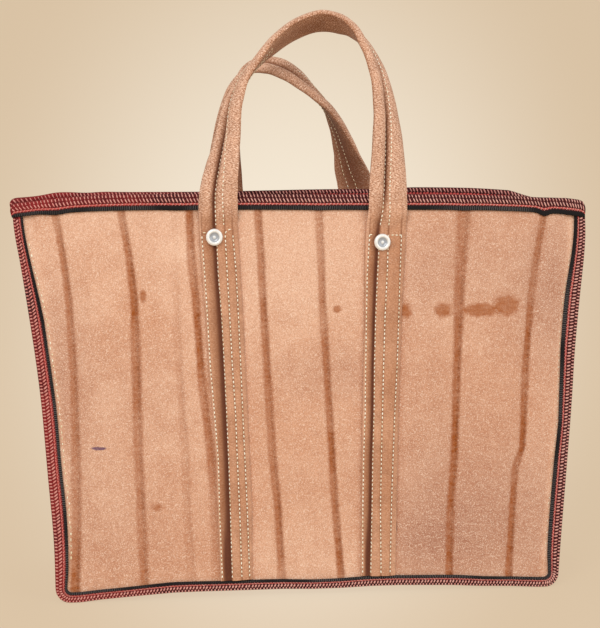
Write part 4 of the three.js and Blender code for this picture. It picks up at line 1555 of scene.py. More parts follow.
@dataclass
class SeamTape(Tape):
    """The tape folded over the raw edges of a panel and the gusset."""

    kind = "seam"
    rows = {True: SEAM_ROWS, False: SEAM_ROWS}
    pitch = 2.76
    spread = 1.1
    stitch_pitch: float = 4.9
    stitch_ends: float = 30.0
    stitch_foot: float = 34.0

    @cached_property
    def stations(self) -> Array:
        """The tape's path, which ends under the rim tape."""
        form = self.form
        tops = [form.rim_top(self.face, form.rim_end(side)) - 2 * form.tape for side in (-1, 1)]
        return SeamPath(form).stations(tops)

    def along(self) -> Array:
        """The path's running lengths."""
        return self.stations[:, 0]

    def span(self) -> tuple[float, float]:
        """From just under one end of the rim tape to the other."""
        return 8.0, float(self.stations[-1, 0]) - 8.0

    def lean(self, place: Array) -> Array:
        """Up to the right on the left side and floor, nearly level on the right side."""
        return np.interp(place, self.stations[:, 0], self.stations[:, 6])

    def rests_on(self) -> list[str]:
        """The panel and the gusset."""
        return [*super().rests_on(), "gusset_leather"]

    def at(self, along: Array, depth: Array, height: Array, outer: Array | bool) -> Array:
        """Point at a running length, a depth from the fold and a height on a face.

        Args:
            along: Running lengths.
            depth: Depths from the fold.
            height: Heights on the tape's face.
            outer: Whether they are on the outer face.

        Returns:
            The points in metres.
        """
        form = self.form
        fold_x, fold_z, in_x, in_z, wide = (
            np.interp(along, self.stations[:, 0], self.stations[:, k]) for k in (1, 2, 3, 4, 5)
        )
        wave = 0.25 * np.sin(along / 31.0) + 0.2 * np.sin(along / 13.0 + 1.0)
        scaled = depth * (wide + wave / form.leg)
        x, z = fold_x + in_x * scaled, fold_z + in_z * scaled
        out = np.where(outer, form.face_out + height, -(form.inner_out + height))
        lifted = z + form.floor_lift(x, fold_z)
        return form.metres(x, self.face.value * (form.plain_out(x, z) + out), lifted)

    def stitches(self, wardrobe: Wardrobe, pip: Pip) -> Object:
        """Sews the tape down: short fuzzy stitches on the leather beside the black selvedge.

        Args:
            wardrobe: Makes the finishes.
            pip: The spindle that is copied.

        Returns:
            The stitches as one piece.
        """
        form, rng, label = self.form, self.rng, self.face.label
        end = self.stations[-1, 0]
        length = np.arange(self.stitch_ends, end - self.stitch_ends, self.stitch_pitch)
        length = length + rng.normal(0, 0.25, len(length))
        height = np.interp(length, self.stations[:, 0], self.stations[:, 2])
        length = length[height > self.stitch_foot]
        count, left = len(length), length < end / 2
        depth = form.leg + np.where(left, 2.5, 1.2) + rng.normal(0, 0.25, count)
        reach = np.where(left, 1.2, 0.8) * rng.uniform(0.7, 1.3, count)
        toward = np.array([0.0, self.face.value, 0.0])
        on_leather = 0.1 - form.gap - form.tape

        def path(level: float) -> tuple[Array, Array, Array]:
            """Points and directions at a share of every stitch's length."""
            face = partial(self.at, height=on_leather, outer=True)
            here, ahead, out = surface_frame(face, length + reach * level, depth, toward)
            return here + out * 0.35 * (1 - level**2) * MM, ahead, out

        tone = np.clip(rng.normal(0.7, 0.3, count), 0, 1)
        wide = np.where(left, 0.6, 0.4) * rng.uniform(0.7, 1.2, count)
        piece = pip.lay(f"{label}_seam_stitches", path, count, (wide, 0.3), tone, wardrobe.thread)
        return declare(piece, f"{label}_seam_binding", Slot.BRAID)


@dataclass
class RimTape(Tape):
    """The tape folded over the top edge of a panel and over the two side tapes."""

    kind = "rim"
    rows = {True: RIM_ROWS, False: INNER_ROWS}
    pitch = 2.98
    spread = 1.0
    end_steps: tuple[float, ...] = (0.0, 0.3, 0.9, 1.8, 3.0, 4.5, 6.2)
    reach: float = 12.8
    end_zone: float = 22.0
    low_slant: tuple[float, float] = (-2.6, 4.4)
    high_slant: tuple[float, float] = (1.6, 2.0)

    def ends(self) -> tuple[float, float]:
        """The two ends of the tape."""
        over = self.form.tape + self.form.gap
        return self.form.rim_end(-1) - over, self.form.rim_end(1) + over

    def along(self) -> Array:
        """Places across, close together where the ends are rounded."""
        low, high = self.ends()
        steps = np.array(self.end_steps)
        return np.concatenate([low + steps, np.arange(low + 8, high - 8, 3.0), high - steps[::-1]])

    def span(self) -> tuple[float, float]:
        """From one end to the other."""
        low, high = self.ends()
        return low + 0.6, high - 0.6

    def at(self, along: Array, depth: Array, height: Array, outer: Array | bool) -> Array:
        """Point at a place across, a depth under the top and a height on a face.

        Args:
            along: Places across the bag.
            depth: Depths under the top.
            height: Heights on the tape's face.
            outer: Whether they are on the outer face.

        Returns:
            The points in metres.
        """
        form, x = self.form, along
        swell = form.rim_swell(x)
        front = mix(form.face_out, form.face_out + form.gap + form.tape, swell)
        back = mix(form.face_out, form.inner_out + form.gap + form.tape, swell)
        top, line = form.tape_top(self.face, x), form.rim_line(self.face, x)
        low = np.minimum(line - self.reach - form.rim_low(x), top - 3)
        z = top - depth * (top - low) / form.leg
        out = np.where(outer, front + height, -(back + height))
        low_end, high_end = self.ends()
        under = (line - z) / form.leg
        pull_low, pull_high = (start + more * under for start, more in (self.low_slant, self.high_slant))
        moved = x + pull_low * (1 - smoothstep(0, self.end_zone, x - low_end))
        moved = moved - pull_high * (1 - smoothstep(0, self.end_zone, high_end - x))
        return form.metres(moved, self.face.value * (form.plain_out(x, z) + out), z)


# Straps


@dataclass(frozen=True)
class HandleRow:
    """A station of the free handle: its middle, roll, width and thickness."""

    x: float
    y: float
    z: float
    roll: float
    width: float
    thick: float


FRONT_HANDLE = (
    HandleRow(-79.8, -41, 338.5, 8, 31.5, 5.4),
    HandleRow(-76.5, -37.5, 359, 28, 29.5, 6.6),
    HandleRow(-73, -31.5, 378, 48, 28, 7.6),
    HandleRow(-66.5, -21, 411, 72, 28, 8),
    HandleRow(-57.4, -14, 430, 90, 28, 7.6),
    HandleRow(-47, -11, 443, 98, 29, 7.4),
    HandleRow(-29, -7, 461.5, 112, 30, 7.4),
    HandleRow(-10.8, -5, 474, 117, 31, 7.4),
    HandleRow(9, -5, 480.5, 118, 31, 7.4),
    HandleRow(25.3, -8, 478, 110, 31, 7.4),
    HandleRow(34.8, -11, 473, 96, 30, 7.6),
    HandleRow(46.2, -15, 460, 76, 30, 7.4),
    HandleRow(57.3, -22, 436, 60, 31, 7.2),
    HandleRow(62.4, -30, 407, 44, 31, 7),
    HandleRow(63.4, -36, 380, 29, 32, 6.6),
    HandleRow(62.9, -41, 338.5, 5, 33, 5.4),
)
BACK_HANDLE = (
    HandleRow(50.3, 41.5, 338.5, 8, 32, 5.4),
    HandleRow(45.5, 43, 352, 32, 31, 6.4),
    HandleRow(40.8, 42, 369.5, 58, 30, 7),
    HandleRow(32.7, 38, 390, 76, 29, 7),
    HandleRow(22.8, 33, 406.5, 91, 29, 7.2),
    HandleRow(8.6, 29, 420.5, 103, 29, 7.2),
    HandleRow(-5.6, 26, 433, 117, 30, 7),
    HandleRow(-19.3, 25, 441, 121, 30, 7),
    HandleRow(-36, 25, 444, 114, 29, 7),
    HandleRow(-50, 26, 439, 96, 29, 7),
    HandleRow(-62, 30, 421, 70, 29, 7),
    HandleRow(-67.8, 36, 390, 48, 30, 7),
    HandleRow(-68, 40, 366, 28, 31, 6.4),
    HandleRow(-67.5, 41.5, 338.5, 6, 32, 5.4),
)
LEG_HEIGHTS = (20, 75, 115, 155, 195, 235, 272, 300, 330)


@dataclass(frozen=True)
class StrapLeg:
    """A sewn leg as it is seen: places across of its edges, seams and recess at LEG_HEIGHTS."""

    left: tuple[float, ...]
    first: tuple[float, ...]
    recess: tuple[float, ...]
    second: tuple[float, ...]
    third: tuple[float, ...]
    fourth: tuple[float, ...]
    right: tuple[float, ...]
    seen: float

    def places(self, z: float) -> list[float]:
        """Places of the edges, seams and recess at a height."""
        rows = (self.left, self.first, self.recess, self.second, self.third, self.fourth, self.right)
        return [float(np.interp(z, LEG_HEIGHTS, row)) for row in rows]

    def face(self, z: float, across: Array) -> tuple[Array, Array, Array]:
        """Height, painted shade and painted highlight of the strap's face over its middle plane.

        Args:
            z: Height on the panel.
            across: Places across, as seen.

        Returns:
            The three values at each place.
        """
        left, first, recess, second, third, fourth, right = self.places(z)
        # Painted shade in the recess, along the stitch lines and at the edges, deeper near the foot where
        # the leather is also darker; painted highlight on the edges.
        low = 1 - float(smoothstep(30, 80, z))
        dark = mix(0.55, 0.95, low)
        table = np.array([
            (left, -2.6, 0.2, 0.2), (left + 0.15, -1.2, 0.1, 0.9), (left + 0.6, -0.4, 0.0, 0.9),
            (first - 0.7, -0.1, 0.0, 0.8), (first, -0.4, 0.75, 0.1), (first + 0.8, 0.1, 0.0, 0.2),
            ((first + recess) / 2, 0.3, 0.05 + 0.3 * low, 0.0), (recess, 0.1, dark - 0.3, 0.0),
            (mix(recess, second, 0.35), -0.1, dark + 0.05, 0.0),
            (mix(recess, second, 0.6), -0.3, mix(0.85, 0.95, low), 0.0),
            (second - 1.0, -0.5, 0.95, 0.0),
            (second - 0.35, 1.2, 0.6, 0.0), (second + 0.5, 1.9, 0.0, 0.2),
            ((second + third) / 2, 2.3, 0.0, 0.3), (third - 1.2, 2.0, 0.0, 0.1),
            (third, 1.5, 0.75, 0.0), (third + 1.2, 1.9, 0.0, 0.2), (fourth - 1.2, 1.5, 0.0, 0.1),
            (fourth, 0.9, 0.75, 0.0), (fourth + 1.2, 0.8, 0.0, 0.4), (right - 1.0, -0.4, 0.0, 0.4),
            (right - 0.2, -1.5, 0.0, 0.8), (right, -2.6, 0.0, 0.8),
        ])
        keys = np.maximum.accumulate(table[:, 0])
        return tuple(np.interp(across, keys, table[:, k]) for k in (1, 2, 3))


LEFT_LEG = StrapLeg(
    left=(-13, -12.5, -11.8, -12.8, -14.3, -14.8, -16, -16.8, -16.4),
    first=(-11.2, -10.8, -9.8, -11, -12.6, -13, -13.6, -14.4, -14.4),
    recess=(-10.2, -9.6, -8.9, -9.2, -9, -9, -9, -9, -8),
    second=(-2.6, -1.6, -1, -0.8, -0.8, -1, -2.2, -2.2, -2.4),
    third=(5.2, 6, 6, 6.4, 5.6, 5.4, 5, 4.8, 4.6),
    fourth=(11.8, 12.4, 12.4, 12.4, 12.6, 12.6, 12.4, 11.2, 11),
    right=(14.9, 17, 17, 17, 17, 17, 16.5, 16.3, 15.4),
    seen=1.0,
)
RIGHT_LEG = StrapLeg(
    left=(-15.9, -16.6, -17.3, -17.5, -17.5, -17.5, -18.3, -18.8, -17.3),
    first=(-14.4, -15.4, -15.8, -15.4, -15.9, -16.2, -16.4, -15.2, -15.2),
    recess=(-12.5, -13.5, -13.5, -13.3, -13.8, -14, -14, -13, -12),
    second=(-7.4, -7.6, -8, -7.8, -8.4, -8.4, -7.6, -6.8, -4.8),
    third=(1.2, -0.6, -0.8, -0.8, -0.8, -0.6, 0.4, 0.6, 0.8),
    fourth=(9.2, 9, 9.4, 10, 11, 11.4, 11.6, 12, 12),
    right=(14.9, 14.6, 14.5, 14.3, 14.5, 14.9, 16, 17.1, 16.6),
    seen=-1.0,
)


@dataclass
class StrapStations:
    """Everything about a strap at each of its stations, in order from foot to foot."""

    centre: Array
    across: Array
    out: Array
    width: Array
    thick: Array
    length: Array

    @property
    def height(self) -> Array:
        """Height of the strap's middle."""
        return self.centre[:, 2]

    @property
    def top(self) -> int:
        """The highest station."""
        return int(np.argmax(self.height))


@dataclass
class Strap:
    """A strap sewn up a panel, free as a handle, and sewn down again."""

    form: BagForm
    face: Face
    table: tuple[HandleRow, ...]
    foot: float = 15.4
    sewn_top: float = 329.0
    sewn_thick: float = 4.6
    step: float = 2.6
    columns: int = 57
    under_columns: int = 12
    blend_rows: int = 8
    loosening: tuple[float, float] = (302, 344)
    over_rim: tuple[float, float] = (311, 321)
    rim_slack: float = 0.8
    rise_groove: tuple[tuple[float, ...], ...] = ((330, 375, 410), (-3.8, -3.0, -1.5))
    fall_groove: tuple[tuple[float, ...], ...] = ((303, 322, 342, 400), (5.8, 4.0, 2.5, 2.2))
    stitch_pitch: float = 3.55
    edges: Array | None = None
    heights: Array | None = None

    def sewn(self, line: StrapLine, z: Array) -> tuple[Array, Array, Array, Array]:
        """Middle, normal, width and thickness of the strap where it is sewn down.

        Args:
            line: The strap's middle line.
            z: Heights.

        Returns:
            The four values at each height.
        """
        form = self.form
        x = line.middle(z)
        over = smoothstep(*self.over_rim, z) * (form.tape + form.gap + self.rim_slack)
        out = form.plain_out(x, z) + form.leather / 2 + form.gap + over + self.sewn_thick / 2
        slope = (form.plain_out(x + 1, z) - form.plain_out(x - 1, z)) / 2
        centre = np.stack([x, self.face.value * out, z], -1)
        normal = unit(np.stack([-slope, np.full_like(z, self.face.value), np.zeros_like(z)], -1))
        return centre, normal, 2 * line.half(z), np.full_like(z, self.sewn_thick)

    def free(self) -> tuple[Array, Array, Array, Array]:
        """Middle, normal, width and thickness along the free handle, a curve through its rows.

        Returns:
            The four values at each station.
        """
        rows = np.array([[r.x, r.y, r.z, r.roll, r.width, r.thick] for r in self.table])
        points = rows[:, :3]
        padded = np.vstack([2 * points[0] - points[1], points, 2 * points[-1] - points[-2]])
        samples, params = [], []
        for i in range(len(points) - 1):
            p0, p1, p2, p3 = padded[i : i + 4]
            t0, t1, t2 = (math.sqrt(np.linalg.norm(b - a)) for a, b in ((p0, p1), (p1, p2), (p2, p3)))
            m1 = ((p1 - p0) / t0 - (p2 - p0) / (t0 + t1) + (p2 - p1) / t1) * t1
            m2 = ((p2 - p1) / t1 - (p3 - p1) / (t1 + t2) + (p3 - p2) / t2) * t1
            c2 = -3 * p1 + 3 * p2 - 2 * m1 - m2
            c3 = 2 * p1 - 2 * p2 + m1 + m2
            count = max(2, round(np.linalg.norm(p2 - p1) / self.step))
            for t in np.arange(count) / count:
                samples.append(p1 + m1 * t + c2 * t * t + c3 * t**3)
                params.append(i + t)
        centre = np.array([*samples, points[-1]])
        param = np.array([*params, len(points) - 1.0])
        row = np.minimum(param.astype(int), len(points) - 2)
        share = smoothstep(0, 1, param - row) * 0.4 + (param - row) * 0.6
        roll, width, thick = (mix(rows[row, k], rows[row + 1, k], share) for k in (3, 4, 5))
        tangent = unit(np.gradient(centre, axis=0))
        facing = np.zeros_like(centre) + [0.0, self.face.value, 0.0]
        facing = unit(facing - tangent * np.sum(facing * tangent, -1, keepdims=True))
        angle = np.radians(roll)[:, None]
        normal = facing * np.cos(angle) - np.cross(tangent, facing) * np.sin(angle)
        return centre, normal, width, thick

    @cached_property
    def laid(self) -> StrapStations:
        """All stations from one foot to the other, eased where sewn and free parts meet.

        Returns:
            The stations.
        """
        lines = STRAPS[self.face]
        up = np.linspace(self.foot, self.sewn_top, round((self.sewn_top - self.foot) / self.step))
        parts = self.sewn(lines[0], up), self.free(), self.sewn(lines[1], up[::-1].copy())
        centre, normal, width, thick = (np.concatenate(values) for values in zip(*parts))
        last = self.blend_rows - 1
        ease = np.linspace(0, 1, self.blend_rows)
        for values in (centre, normal, width, thick):
            for first in (len(up) - 3, len(up) + len(parts[1][0]) - 5):
                window = slice(first, first + self.blend_rows)
                shares = ease.reshape(-1, *[1] * (values.ndim - 1))
                straight = shares * (values[first + last] - values[first]) + values[first]
                values[window] = straight * 0.35 + values[window] * 0.65
        tangent = unit(np.gradient(centre, axis=0))
        across = unit(np.cross(tangent, normal))
        return StrapStations(centre, across, np.cross(across, tangent), width, thick, lengths(centre))

    def groove(self, height: Array, rising: bool) -> Array:
        """Place across of the groove on one of the two sides of the free handle."""
        return np.interp(height, *(self.rise_groove if rising else self.fall_groove))

    def section(self, k: int, groove: float) -> Array:
        """The strap's outline at a station.

        Args:
            k: Which station.
            groove: Place across of the groove there.

        Returns:
            Place across, height, painted shade and painted highlight of each column, closed in a ring.
        """
        laid, far = self.laid, self.face is Face.BACK
        z, thick, half = laid.height[k], laid.thick[k], laid.width[k] / 2
        rising = k <= laid.top
        leg = LEFT_LEG if rising else RIGHT_LEG
        free = float(smoothstep(*self.loosening, z))
        rims = leg.places(z)
        low, high = sorted((leg.seen * rims[0], leg.seen * rims[-1]))
        low, high = mix(low, -half, free), mix(high, half, free)
        across = low + (high - low) * np.linspace(0, 1, self.columns)
        height, shade, light = leg.face(z, across * leg.seen)
        middle = np.where(across < groove, (low + groove) / 2, (high + groove) / 2)
        reach = np.where(across < groove, groove - low, high - groove) / 2
        turn = np.clip(np.abs(across - middle) / reach, 0, 1)
        # pit paints shade into the groove between the rolls, wider on the far handle; the rolls beside it
        # get painted highlight.
        pit = hump(across, groove, 3.2 if far else 2.2)
        height = mix(height, thick * (0.5 - 0.5 * turn**2.2 - 0.25 * pit), free)
        if rising:
            height = height - 0.7 * hump(z, 313, 2.4) * smoothstep(0, 4, across)
        around = np.linspace(1, -1, self.under_columns)
        under = around * (high - low) / 2 * 0.97 + (high + low) / 2
        below = mix(-2.62, -thick * 0.5 * (1 - 0.25 * np.abs(around) ** 6), free)
        # inner paints shade on the under side, darker on the far handle and towards one side.
        inner = free * ((0.62 if far else 0.3) + 0.2 * np.cos(around * 2.2) * leg.seen)
        upper = np.stack([across, height, mix(shade, 0.95 * pit, free), mix(light, 0.95 * (1 - pit), free)])
        lower = np.stack([under, below, inner, np.zeros(self.under_columns)])
        return np.hstack([upper, lower, upper[:, :1]])

    def build(self, wardrobe: Wardrobe) -> Object:
        """Models the strap with its two rolled halves and the groove between them.

        Args:
            wardrobe: Makes the finishes.

        Returns:
            The finished strap.
        """
        laid, label = self.laid, self.face.label
        ease = smoothstep(-14, 14, np.arange(len(laid.length)) - laid.top)
        groove = mix(self.groove(laid.height, True), self.groove(laid.height, False), ease)
        sections = np.array([self.section(k, place) for k, place in enumerate(groove)])
        offset, height, shade, light = np.moveaxis(sections, 1, 0)
        self.edges, self.heights = offset[:, [0, self.columns - 1]], height[:, : self.columns]
        points = (
            laid.centre[:, None] + laid.across[:, None] * offset[..., None]
            + laid.out[:, None] * height[..., None]
        )
        step = np.hypot(np.diff(offset, axis=1), np.diff(height, axis=1))
        wrap = np.concatenate([np.zeros((len(step), 1)), np.cumsum(step, axis=1)], axis=1)
        loose = np.repeat(smoothstep(*self.loosening, laid.height)[:, None], offset.shape[1], 1)
        # shade and light carry the painted shade and painted highlight to the material.
        marks = {"shade": shade, "light": light, "free": loose}
        grid, uv = self.form.placed(points), (laid.length[:, None], wrap)
        piece = place_grid(f"{label}_strap", grid, uv, [wardrobe.strap], marks)
        edit(piece, MERGE, CAP, OUTWARDS)
        smooth(piece, 60)
        return declare(piece, f"{label}_handle", Slot.STRAP)

    def at(self, length: Array, values: Array) -> Array:
        """What a row of values or vectors is at running lengths."""
        laid = self.laid.length
        if values.ndim == 1:
            return np.interp(length, laid, values)
        return np.column_stack([np.interp(length, laid, column) for column in values.T])

    def beneath(self, length: Array, across: Array) -> Array:
        """Point on the strap's under side at a running length and a place across."""
        laid = self.laid
        centre, beside, out = (self.at(length, v) for v in (laid.centre, laid.across, laid.out))
        low = self.at(length, laid.thick) / 2
        return self.form.placed(centre + beside * across[:, None] - out * low[:, None])

    def surface(self, length: Array, across: Array) -> Array:
        """Point on the strap's upper face at a running length and a place across.

        Args:
            length: Running lengths.
            across: Places across.

        Returns:
            The points in metres.
        """
        laid, count, last = self.laid, len(self.laid.length), self.columns - 1
        row = np.clip(self.at(length, np.arange(count)), 0, count - 1.001)
        i = row.astype(int)
        low, high = (mix(self.edges[i, k], self.edges[i + 1, k], row - i) for k in (0, 1))
        column = np.clip((across - low) / (high - low) * last, 0, last - 0.001)
        j = column.astype(int)
        before, after = (mix(self.heights[n, j], self.heights[n, j + 1], column - j) for n in (i, i + 1))
        height = mix(before, after, row - i)
        share = (row - i)[:, None]
        centre, beside, out = (mix(v[i], v[i + 1], share) for v in (laid.centre, laid.across, laid.out))
        return self.form.placed(centre + beside * across[:, None] + out * height[:, None])

    def seams(self, under: bool) -> list[Array]:
        """Every sewn line of one side as a row of running lengths and places across.

        Args:
            under: Whether it is the under side.

        Returns:
            The lines.
        """
        laid = self.laid
        lines: list[Array] = []
        for rising, leg in ((True, LEFT_LEG), (False, RIGHT_LEG)):
            part = slice(0, laid.top) if rising else slice(laid.top, None)
            height, length = laid.height[part], laid.length[part]
            order = np.argsort(height)
            crown = float(laid.height.max())

            def path(zs: Array, seen: Array | float) -> None:
                """Adds a line through heights and places across, as seen."""
                places = np.broadcast_to(leg.seen * np.asarray(seen), zs.shape)
                lines.append(np.column_stack([np.interp(zs, height[order], length[order]), places]))

            def bar(z: float, start: float, end: float) -> None:
                """Adds a level line."""
                places = np.arange(start, end, 1.0)
                path(np.full(places.shape, z), places)

            if under:
                high = np.arange(332.0, crown - 22, 3.0)
                path(high, -0.5)
                path(high, 6.5)
                continue
            low = np.arange(self.foot + 2, 303.5, 2.0)
            for seam in (leg.first, leg.second, leg.third, leg.fourth):
                path(low, np.interp(low, LEG_HEIGHTS, seam))
            high = np.arange(311.0, crown - 8, 3.0)
            groove = leg.seen * self.groove(high, rising)
            if rising:
                path(high, groove + np.interp(high, (311, 345), (1.5, 1.3)))
                path(high, groove + np.interp(high, (311, 400), (7.7, 6.2)))
                bar(306.0, -14.0, -10.5)
                turn = np.linspace(0, 1, 9)
                path(304 + 4 * np.sin(turn * np.pi / 2), 5 + 6 * turn**2)
            else:
                path(high, groove - 1.3)
                path(high, np.interp(high, (311, 400), (0.8, 1.5)))
                bar(303.5, -16.0, -11.5)
                bar(303.5, 2.5, 12.0)
        return lines

    def stitches(self, wardrobe: Wardrobe, pip: Pip, rng: np.random.Generator, under: bool) -> Object:
        """Sews the lines of one side with one short cream stitch after another.

        Args:
            wardrobe: Makes the thread.
            pip: The spindle that is copied.
            rng: Makes the stitches uneven.
            under: Whether it is the under side.

        Returns:
            The stitches as one piece.
        """
        mids, ways = [], []
        for line in self.seams(under):
            run = lengths(line)
            at = np.arange(1.8, run[-1], self.stitch_pitch)
            at = at + rng.normal(0, 0.12, len(at))
            here, ahead = (
                np.column_stack([np.interp(at + d, run, line[:, k]) for k in (0, 1)]) for d in (-0.5, 0.5)
            )
            mids.append((here + ahead) / 2)
            ways.append(unit(ahead - here + 1e-9))
        mid, way = np.vstack(mids), np.vstack(ways)
        count = len(mid)
        reach, lean = rng.uniform(1.0, 1.3, count)[:, None], rng.normal(0, 0.12, count)[:, None]
        toward = self.at(mid[:, 0], self.laid.out) * (-1 if under else 1)
        beside = np.column_stack([-way[:, 1], way[:, 0]])
        face = self.beneath if under else self.surface

        def path(level: float) -> tuple[Array, Array, Array]:
            """Points and directions at a share of every stitch's length."""
            here, after, before = (
                (mid + way * reach * share + beside * lean * share).T
                for share in (level, level + 0.1, level - 0.1)
            )
            point, _, out = surface_frame(face, *here, toward)
            ahead = unit(face(*after) - face(*before))
            return point + out * (0.02 + 0.3 * (1 - level**2)) * MM, ahead, out

        tone = np.clip(rng.normal(0.9 if under else 0.3, 0.25, count), 0, 1)
        name = f"{self.face.label}_strap_{'under' if under else 'upper'}_stitches"
        piece = pip.lay(name, path, count, (0.34 if under else 0.5, 0.34), tone, wardrobe.thread)
        return declare(piece, f"{self.face.label}_handle", Slot.STRAP)


@dataclass
class Rivet:
    """A round cap with a domed ring and a small dished middle."""

    strap: Strap
    line: StrapLine
    height: float
    across: float
    node: str
    turns: int = 40
    profile: tuple[tuple[float, float], ...] = (
        (0.0, 0.0), (6.7, 0.0), (7.0, 0.35), (7.0, 0.9), (6.85, 1.4), (6.5, 1.9), (6.0, 2.25),
        (5.5, 2.4), (4.9, 2.35), (4.4, 2.1), (4.0, 1.7), (3.5, 1.2), (2.7, 0.85), (1.7, 0.7),
        (0.9, 0.95), (0.0, 1.05),
    )

    def build(self, wardrobe: Wardrobe) -> Object:
        """Turns the cap's profile round and sets it on the strap.

        Args:
            wardrobe: Makes the finishes.

        Returns:
            The finished rivet.
        """
        form = self.strap.form
        z = self.height + np.array([-6.0, 0.0, 6.0])
        centre, normal, _, thick = self.strap.sewn(self.line, z)
        tangent = unit(centre[2] - centre[0])
        across = unit(np.cross(tangent, normal[1]))
        out = np.cross(across, tangent)
        place = centre[1] + out * (thick[1] / 2 + form.gap) + across * self.across
        angles = np.linspace(0, 2 * np.pi, self.turns + 1)
        radius, rise = np.array(self.profile).T
        ray = np.cos(angles)[:, None] * across + np.sin(angles)[:, None] * tangent
        ring = place + ray[:, None] * radius[:, None] + out * rise[:, None]
        # Where the blue-grey painted shade and reflection go: the dished middle.
        dish = (1 - smoothstep(3.6, 4.6, radius)) * smoothstep(0.6, 1.6, radius) * (rise > 0.5)
        marks = {"dish": np.repeat(dish[None], self.turns + 1, 0)}
        grid, uv = form.placed(ring), (angles[:, None], rise)
        piece = place_grid(f"{self.node}_cap", grid, uv, [wardrobe.metal], marks)
        edit(piece, MERGE, CAP, OUTWARDS)
        smooth(piece, 50)
        return declare(piece, self.node, Slot.METAL)


# Height on the strap, and place across it, of the rivets at the strap's two lines
RIVETS = {
    Face.FRONT: ((302.0, -4.3, "front_left_rivet"), (297.5, -4.8, "front_right_rivet")),
    Face.BACK: ((299.0, -4.3, "back_right_rivet"), (301.0, -4.8, "back_left_rivet")),
}


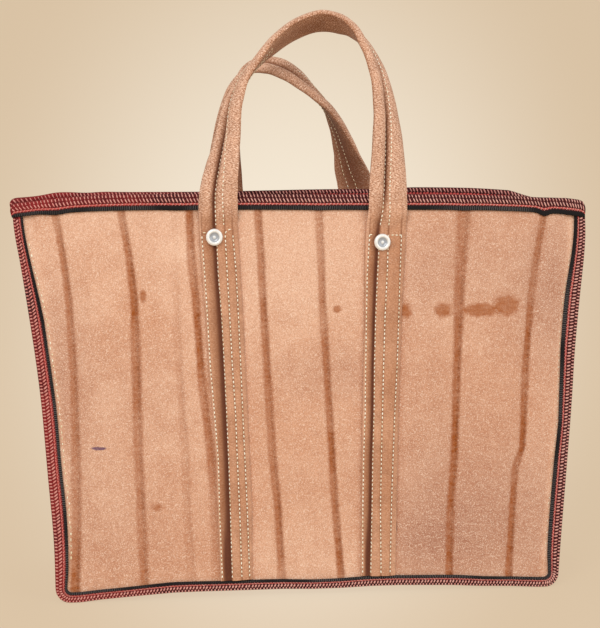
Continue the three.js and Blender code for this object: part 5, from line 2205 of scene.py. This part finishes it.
@dataclass
class Studio:
    """A plain pale floor, soft light and the photograph's viewpoint."""

    azimuth: float = -7.6
    elevation: float = 8.5
    roll: float = 0.6
    focal: float = 1495.0
    frame_height: float = 628.0
    distance: float = 1.3
    target: tuple[float, float, float] = (-0.002589, 0.0, 0.2330)
    floor: Colour = linear(244, 232, 213)
    floor_falloff_shade: Colour = linear(216, 194, 165)
    glow_from: tuple[float, float, float] = (-0.1726, -1.2745, 0.42)
    glow_way: tuple[float, float] = (0.1334, -0.15)
    glow_half: tuple[float, float] = (0.19, 0.245)
    room: Colour = (1.0, 0.975, 0.94)
    room_strength: float = 0.62
    warm_white: Colour = (1.0, 0.97, 0.93)
    lamps: tuple[tuple[str, tuple[float, float, float], float], ...] = (
        ("key_light", (-1.1, -2.0, 1.9), 42.0), ("fill_light", (1.6, -1.6, 1.1), 14.0),
    )
    lamp_size: float = 1.6

    def camera(self) -> None:
        """Sets the camera where the photographer stood."""
        azimuth, elevation, roll = map(math.radians, (self.azimuth, self.elevation, self.roll))
        level = math.cos(elevation)
        back = Vector((math.sin(azimuth) * level, -math.cos(azimuth) * level, math.sin(elevation)))
        right = (-back).cross(Vector((0, 0, 1))).normalized()
        up = right.cross(-back)
        turned = right * math.cos(roll) + up * math.sin(roll)
        upright = up * math.cos(roll) - right * math.sin(roll)
        data = bpy.data.cameras.new("viewpoint")
        data.sensor_width = 36.0
        data.lens = data.sensor_width * self.focal / self.frame_height
        data.clip_end = 50.0
        camera = bpy.data.objects.new("viewpoint", data)
        bpy.context.scene.collection.objects.link(camera)
        matrix = Matrix((turned, upright, back)).transposed().to_4x4()
        matrix.translation = Vector(self.target) + back * self.distance
        camera.matrix_world = matrix
        bpy.context.scene.camera = camera

    def lights(self) -> None:
        """Hangs two large soft lights and fills the room evenly."""
        scene = bpy.context.scene
        scene.world = bpy.data.worlds.new("room")
        scene.world.use_nodes = True
        backdrop = scene.world.node_tree.nodes["Background"]
        backdrop.inputs["Color"].default_value = (*self.room, 1.0)
        backdrop.inputs["Strength"].default_value = self.room_strength
        for name, place, power in self.lamps:
            data = bpy.data.lights.new(name, "AREA")
            data.size, data.energy, data.color = self.lamp_size, power, self.warm_white
            light = bpy.data.objects.new(name, data)
            scene.collection.objects.link(light)
            aim = Vector((0, 0, 0.22)) - Vector(place)
            light.matrix_world = aim.to_track_quat("-Z", "Y").to_matrix().to_4x4()
            light.location = place
        scene.view_settings.view_transform = "Standard"

    def paint(self) -> Material:
        """Pale floor that glows with painted light: lighter in a cone that starts at glow_from, a little
        darker away from it.

        Returns:
            The material.
        """
        coat = Coat("floor_painted_light")
        x, y, z = (part - start for part, start in zip(coat.parts(coat.place), self.glow_from))
        spread, height = (
            (part / y - way) / half for part, way, half in zip((x, z), self.glow_way, self.glow_half)
        )
        edge = coat.math("SQRT", spread * spread + height * height).ease(0.2, 1.3)
        colour = coat.layers(self.floor, (edge, self.floor_falloff_shade))
        # The floor glows with the painted light, which also thins its cast shadows; its own base colour is
        # kept dark.
        plain = coat.layers(colour, (1.0, (0.13, 0.13, 0.13), "MULTIPLY"))
        coat.feed(coat.shader, Base_Color=plain, Emission_Color=colour, Emission_Strength=0.9,
                  Roughness=0.95, Specular_IOR_Level=0.1)
        return coat.material

    def ground(self) -> None:
        """Lays the floor, which sweeps up far behind the bag."""
        turn = np.linspace(0.1, np.pi / 2, 14)
        depths = np.concatenate([np.linspace(-3, 1.2, 12), 1.2 + np.sin(turn) * 1.5])
        rises = np.concatenate([np.zeros(12), 1.5 - np.cos(turn) * 1.5])
        depths, rises = np.append(depths, depths[-1])[:, None], np.append(rises, 4.0)[:, None]
        xs = np.linspace(-4, 4, 6)
        points = np.stack(np.broadcast_arrays(xs, depths, rises), -1)
        floor = place_grid("floor", points, (xs / MM, depths / MM), [self.paint()])
        smooth(floor, 60)


def main() -> None:
    """Builds every piece of the bag, its stage and its light."""
    logging.basicConfig(level=logging.INFO, format="%(name)s: %(message)s")
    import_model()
    form, wardrobe, pip = BagForm(), Wardrobe(), Pip()
    rng = np.random.default_rng(SEED)
    studio = Studio()
    studio.camera()
    studio.lights()
    studio.ground()
    made = [Gusset(form).build(wardrobe)]
    for face, table in ((Face.FRONT, FRONT_HANDLE), (Face.BACK, BACK_HANDLE)):
        made.append(Panel(form, face).build(wardrobe))
        tape = SeamTape(form, face, rng)
        made += [*tape.build(wardrobe, pip), tape.stitches(wardrobe, pip)]
        made += RimTape(form, face, rng).build(wardrobe, pip)
        strap = Strap(form, face, table)
        made.append(strap.build(wardrobe))
        made += [strap.stitches(wardrobe, pip, rng, under) for under in (False, True)]
        for line, (height, across, node) in zip(STRAPS[face], RIVETS[face]):
            made.append(Rivet(strap, line, height, across, node).build(wardrobe))
    for piece in made:
        LOG.info("%s: %d faces", piece.name, len(piece.data.polygons))
    deselect()


if __name__ == "__main__":
    main()
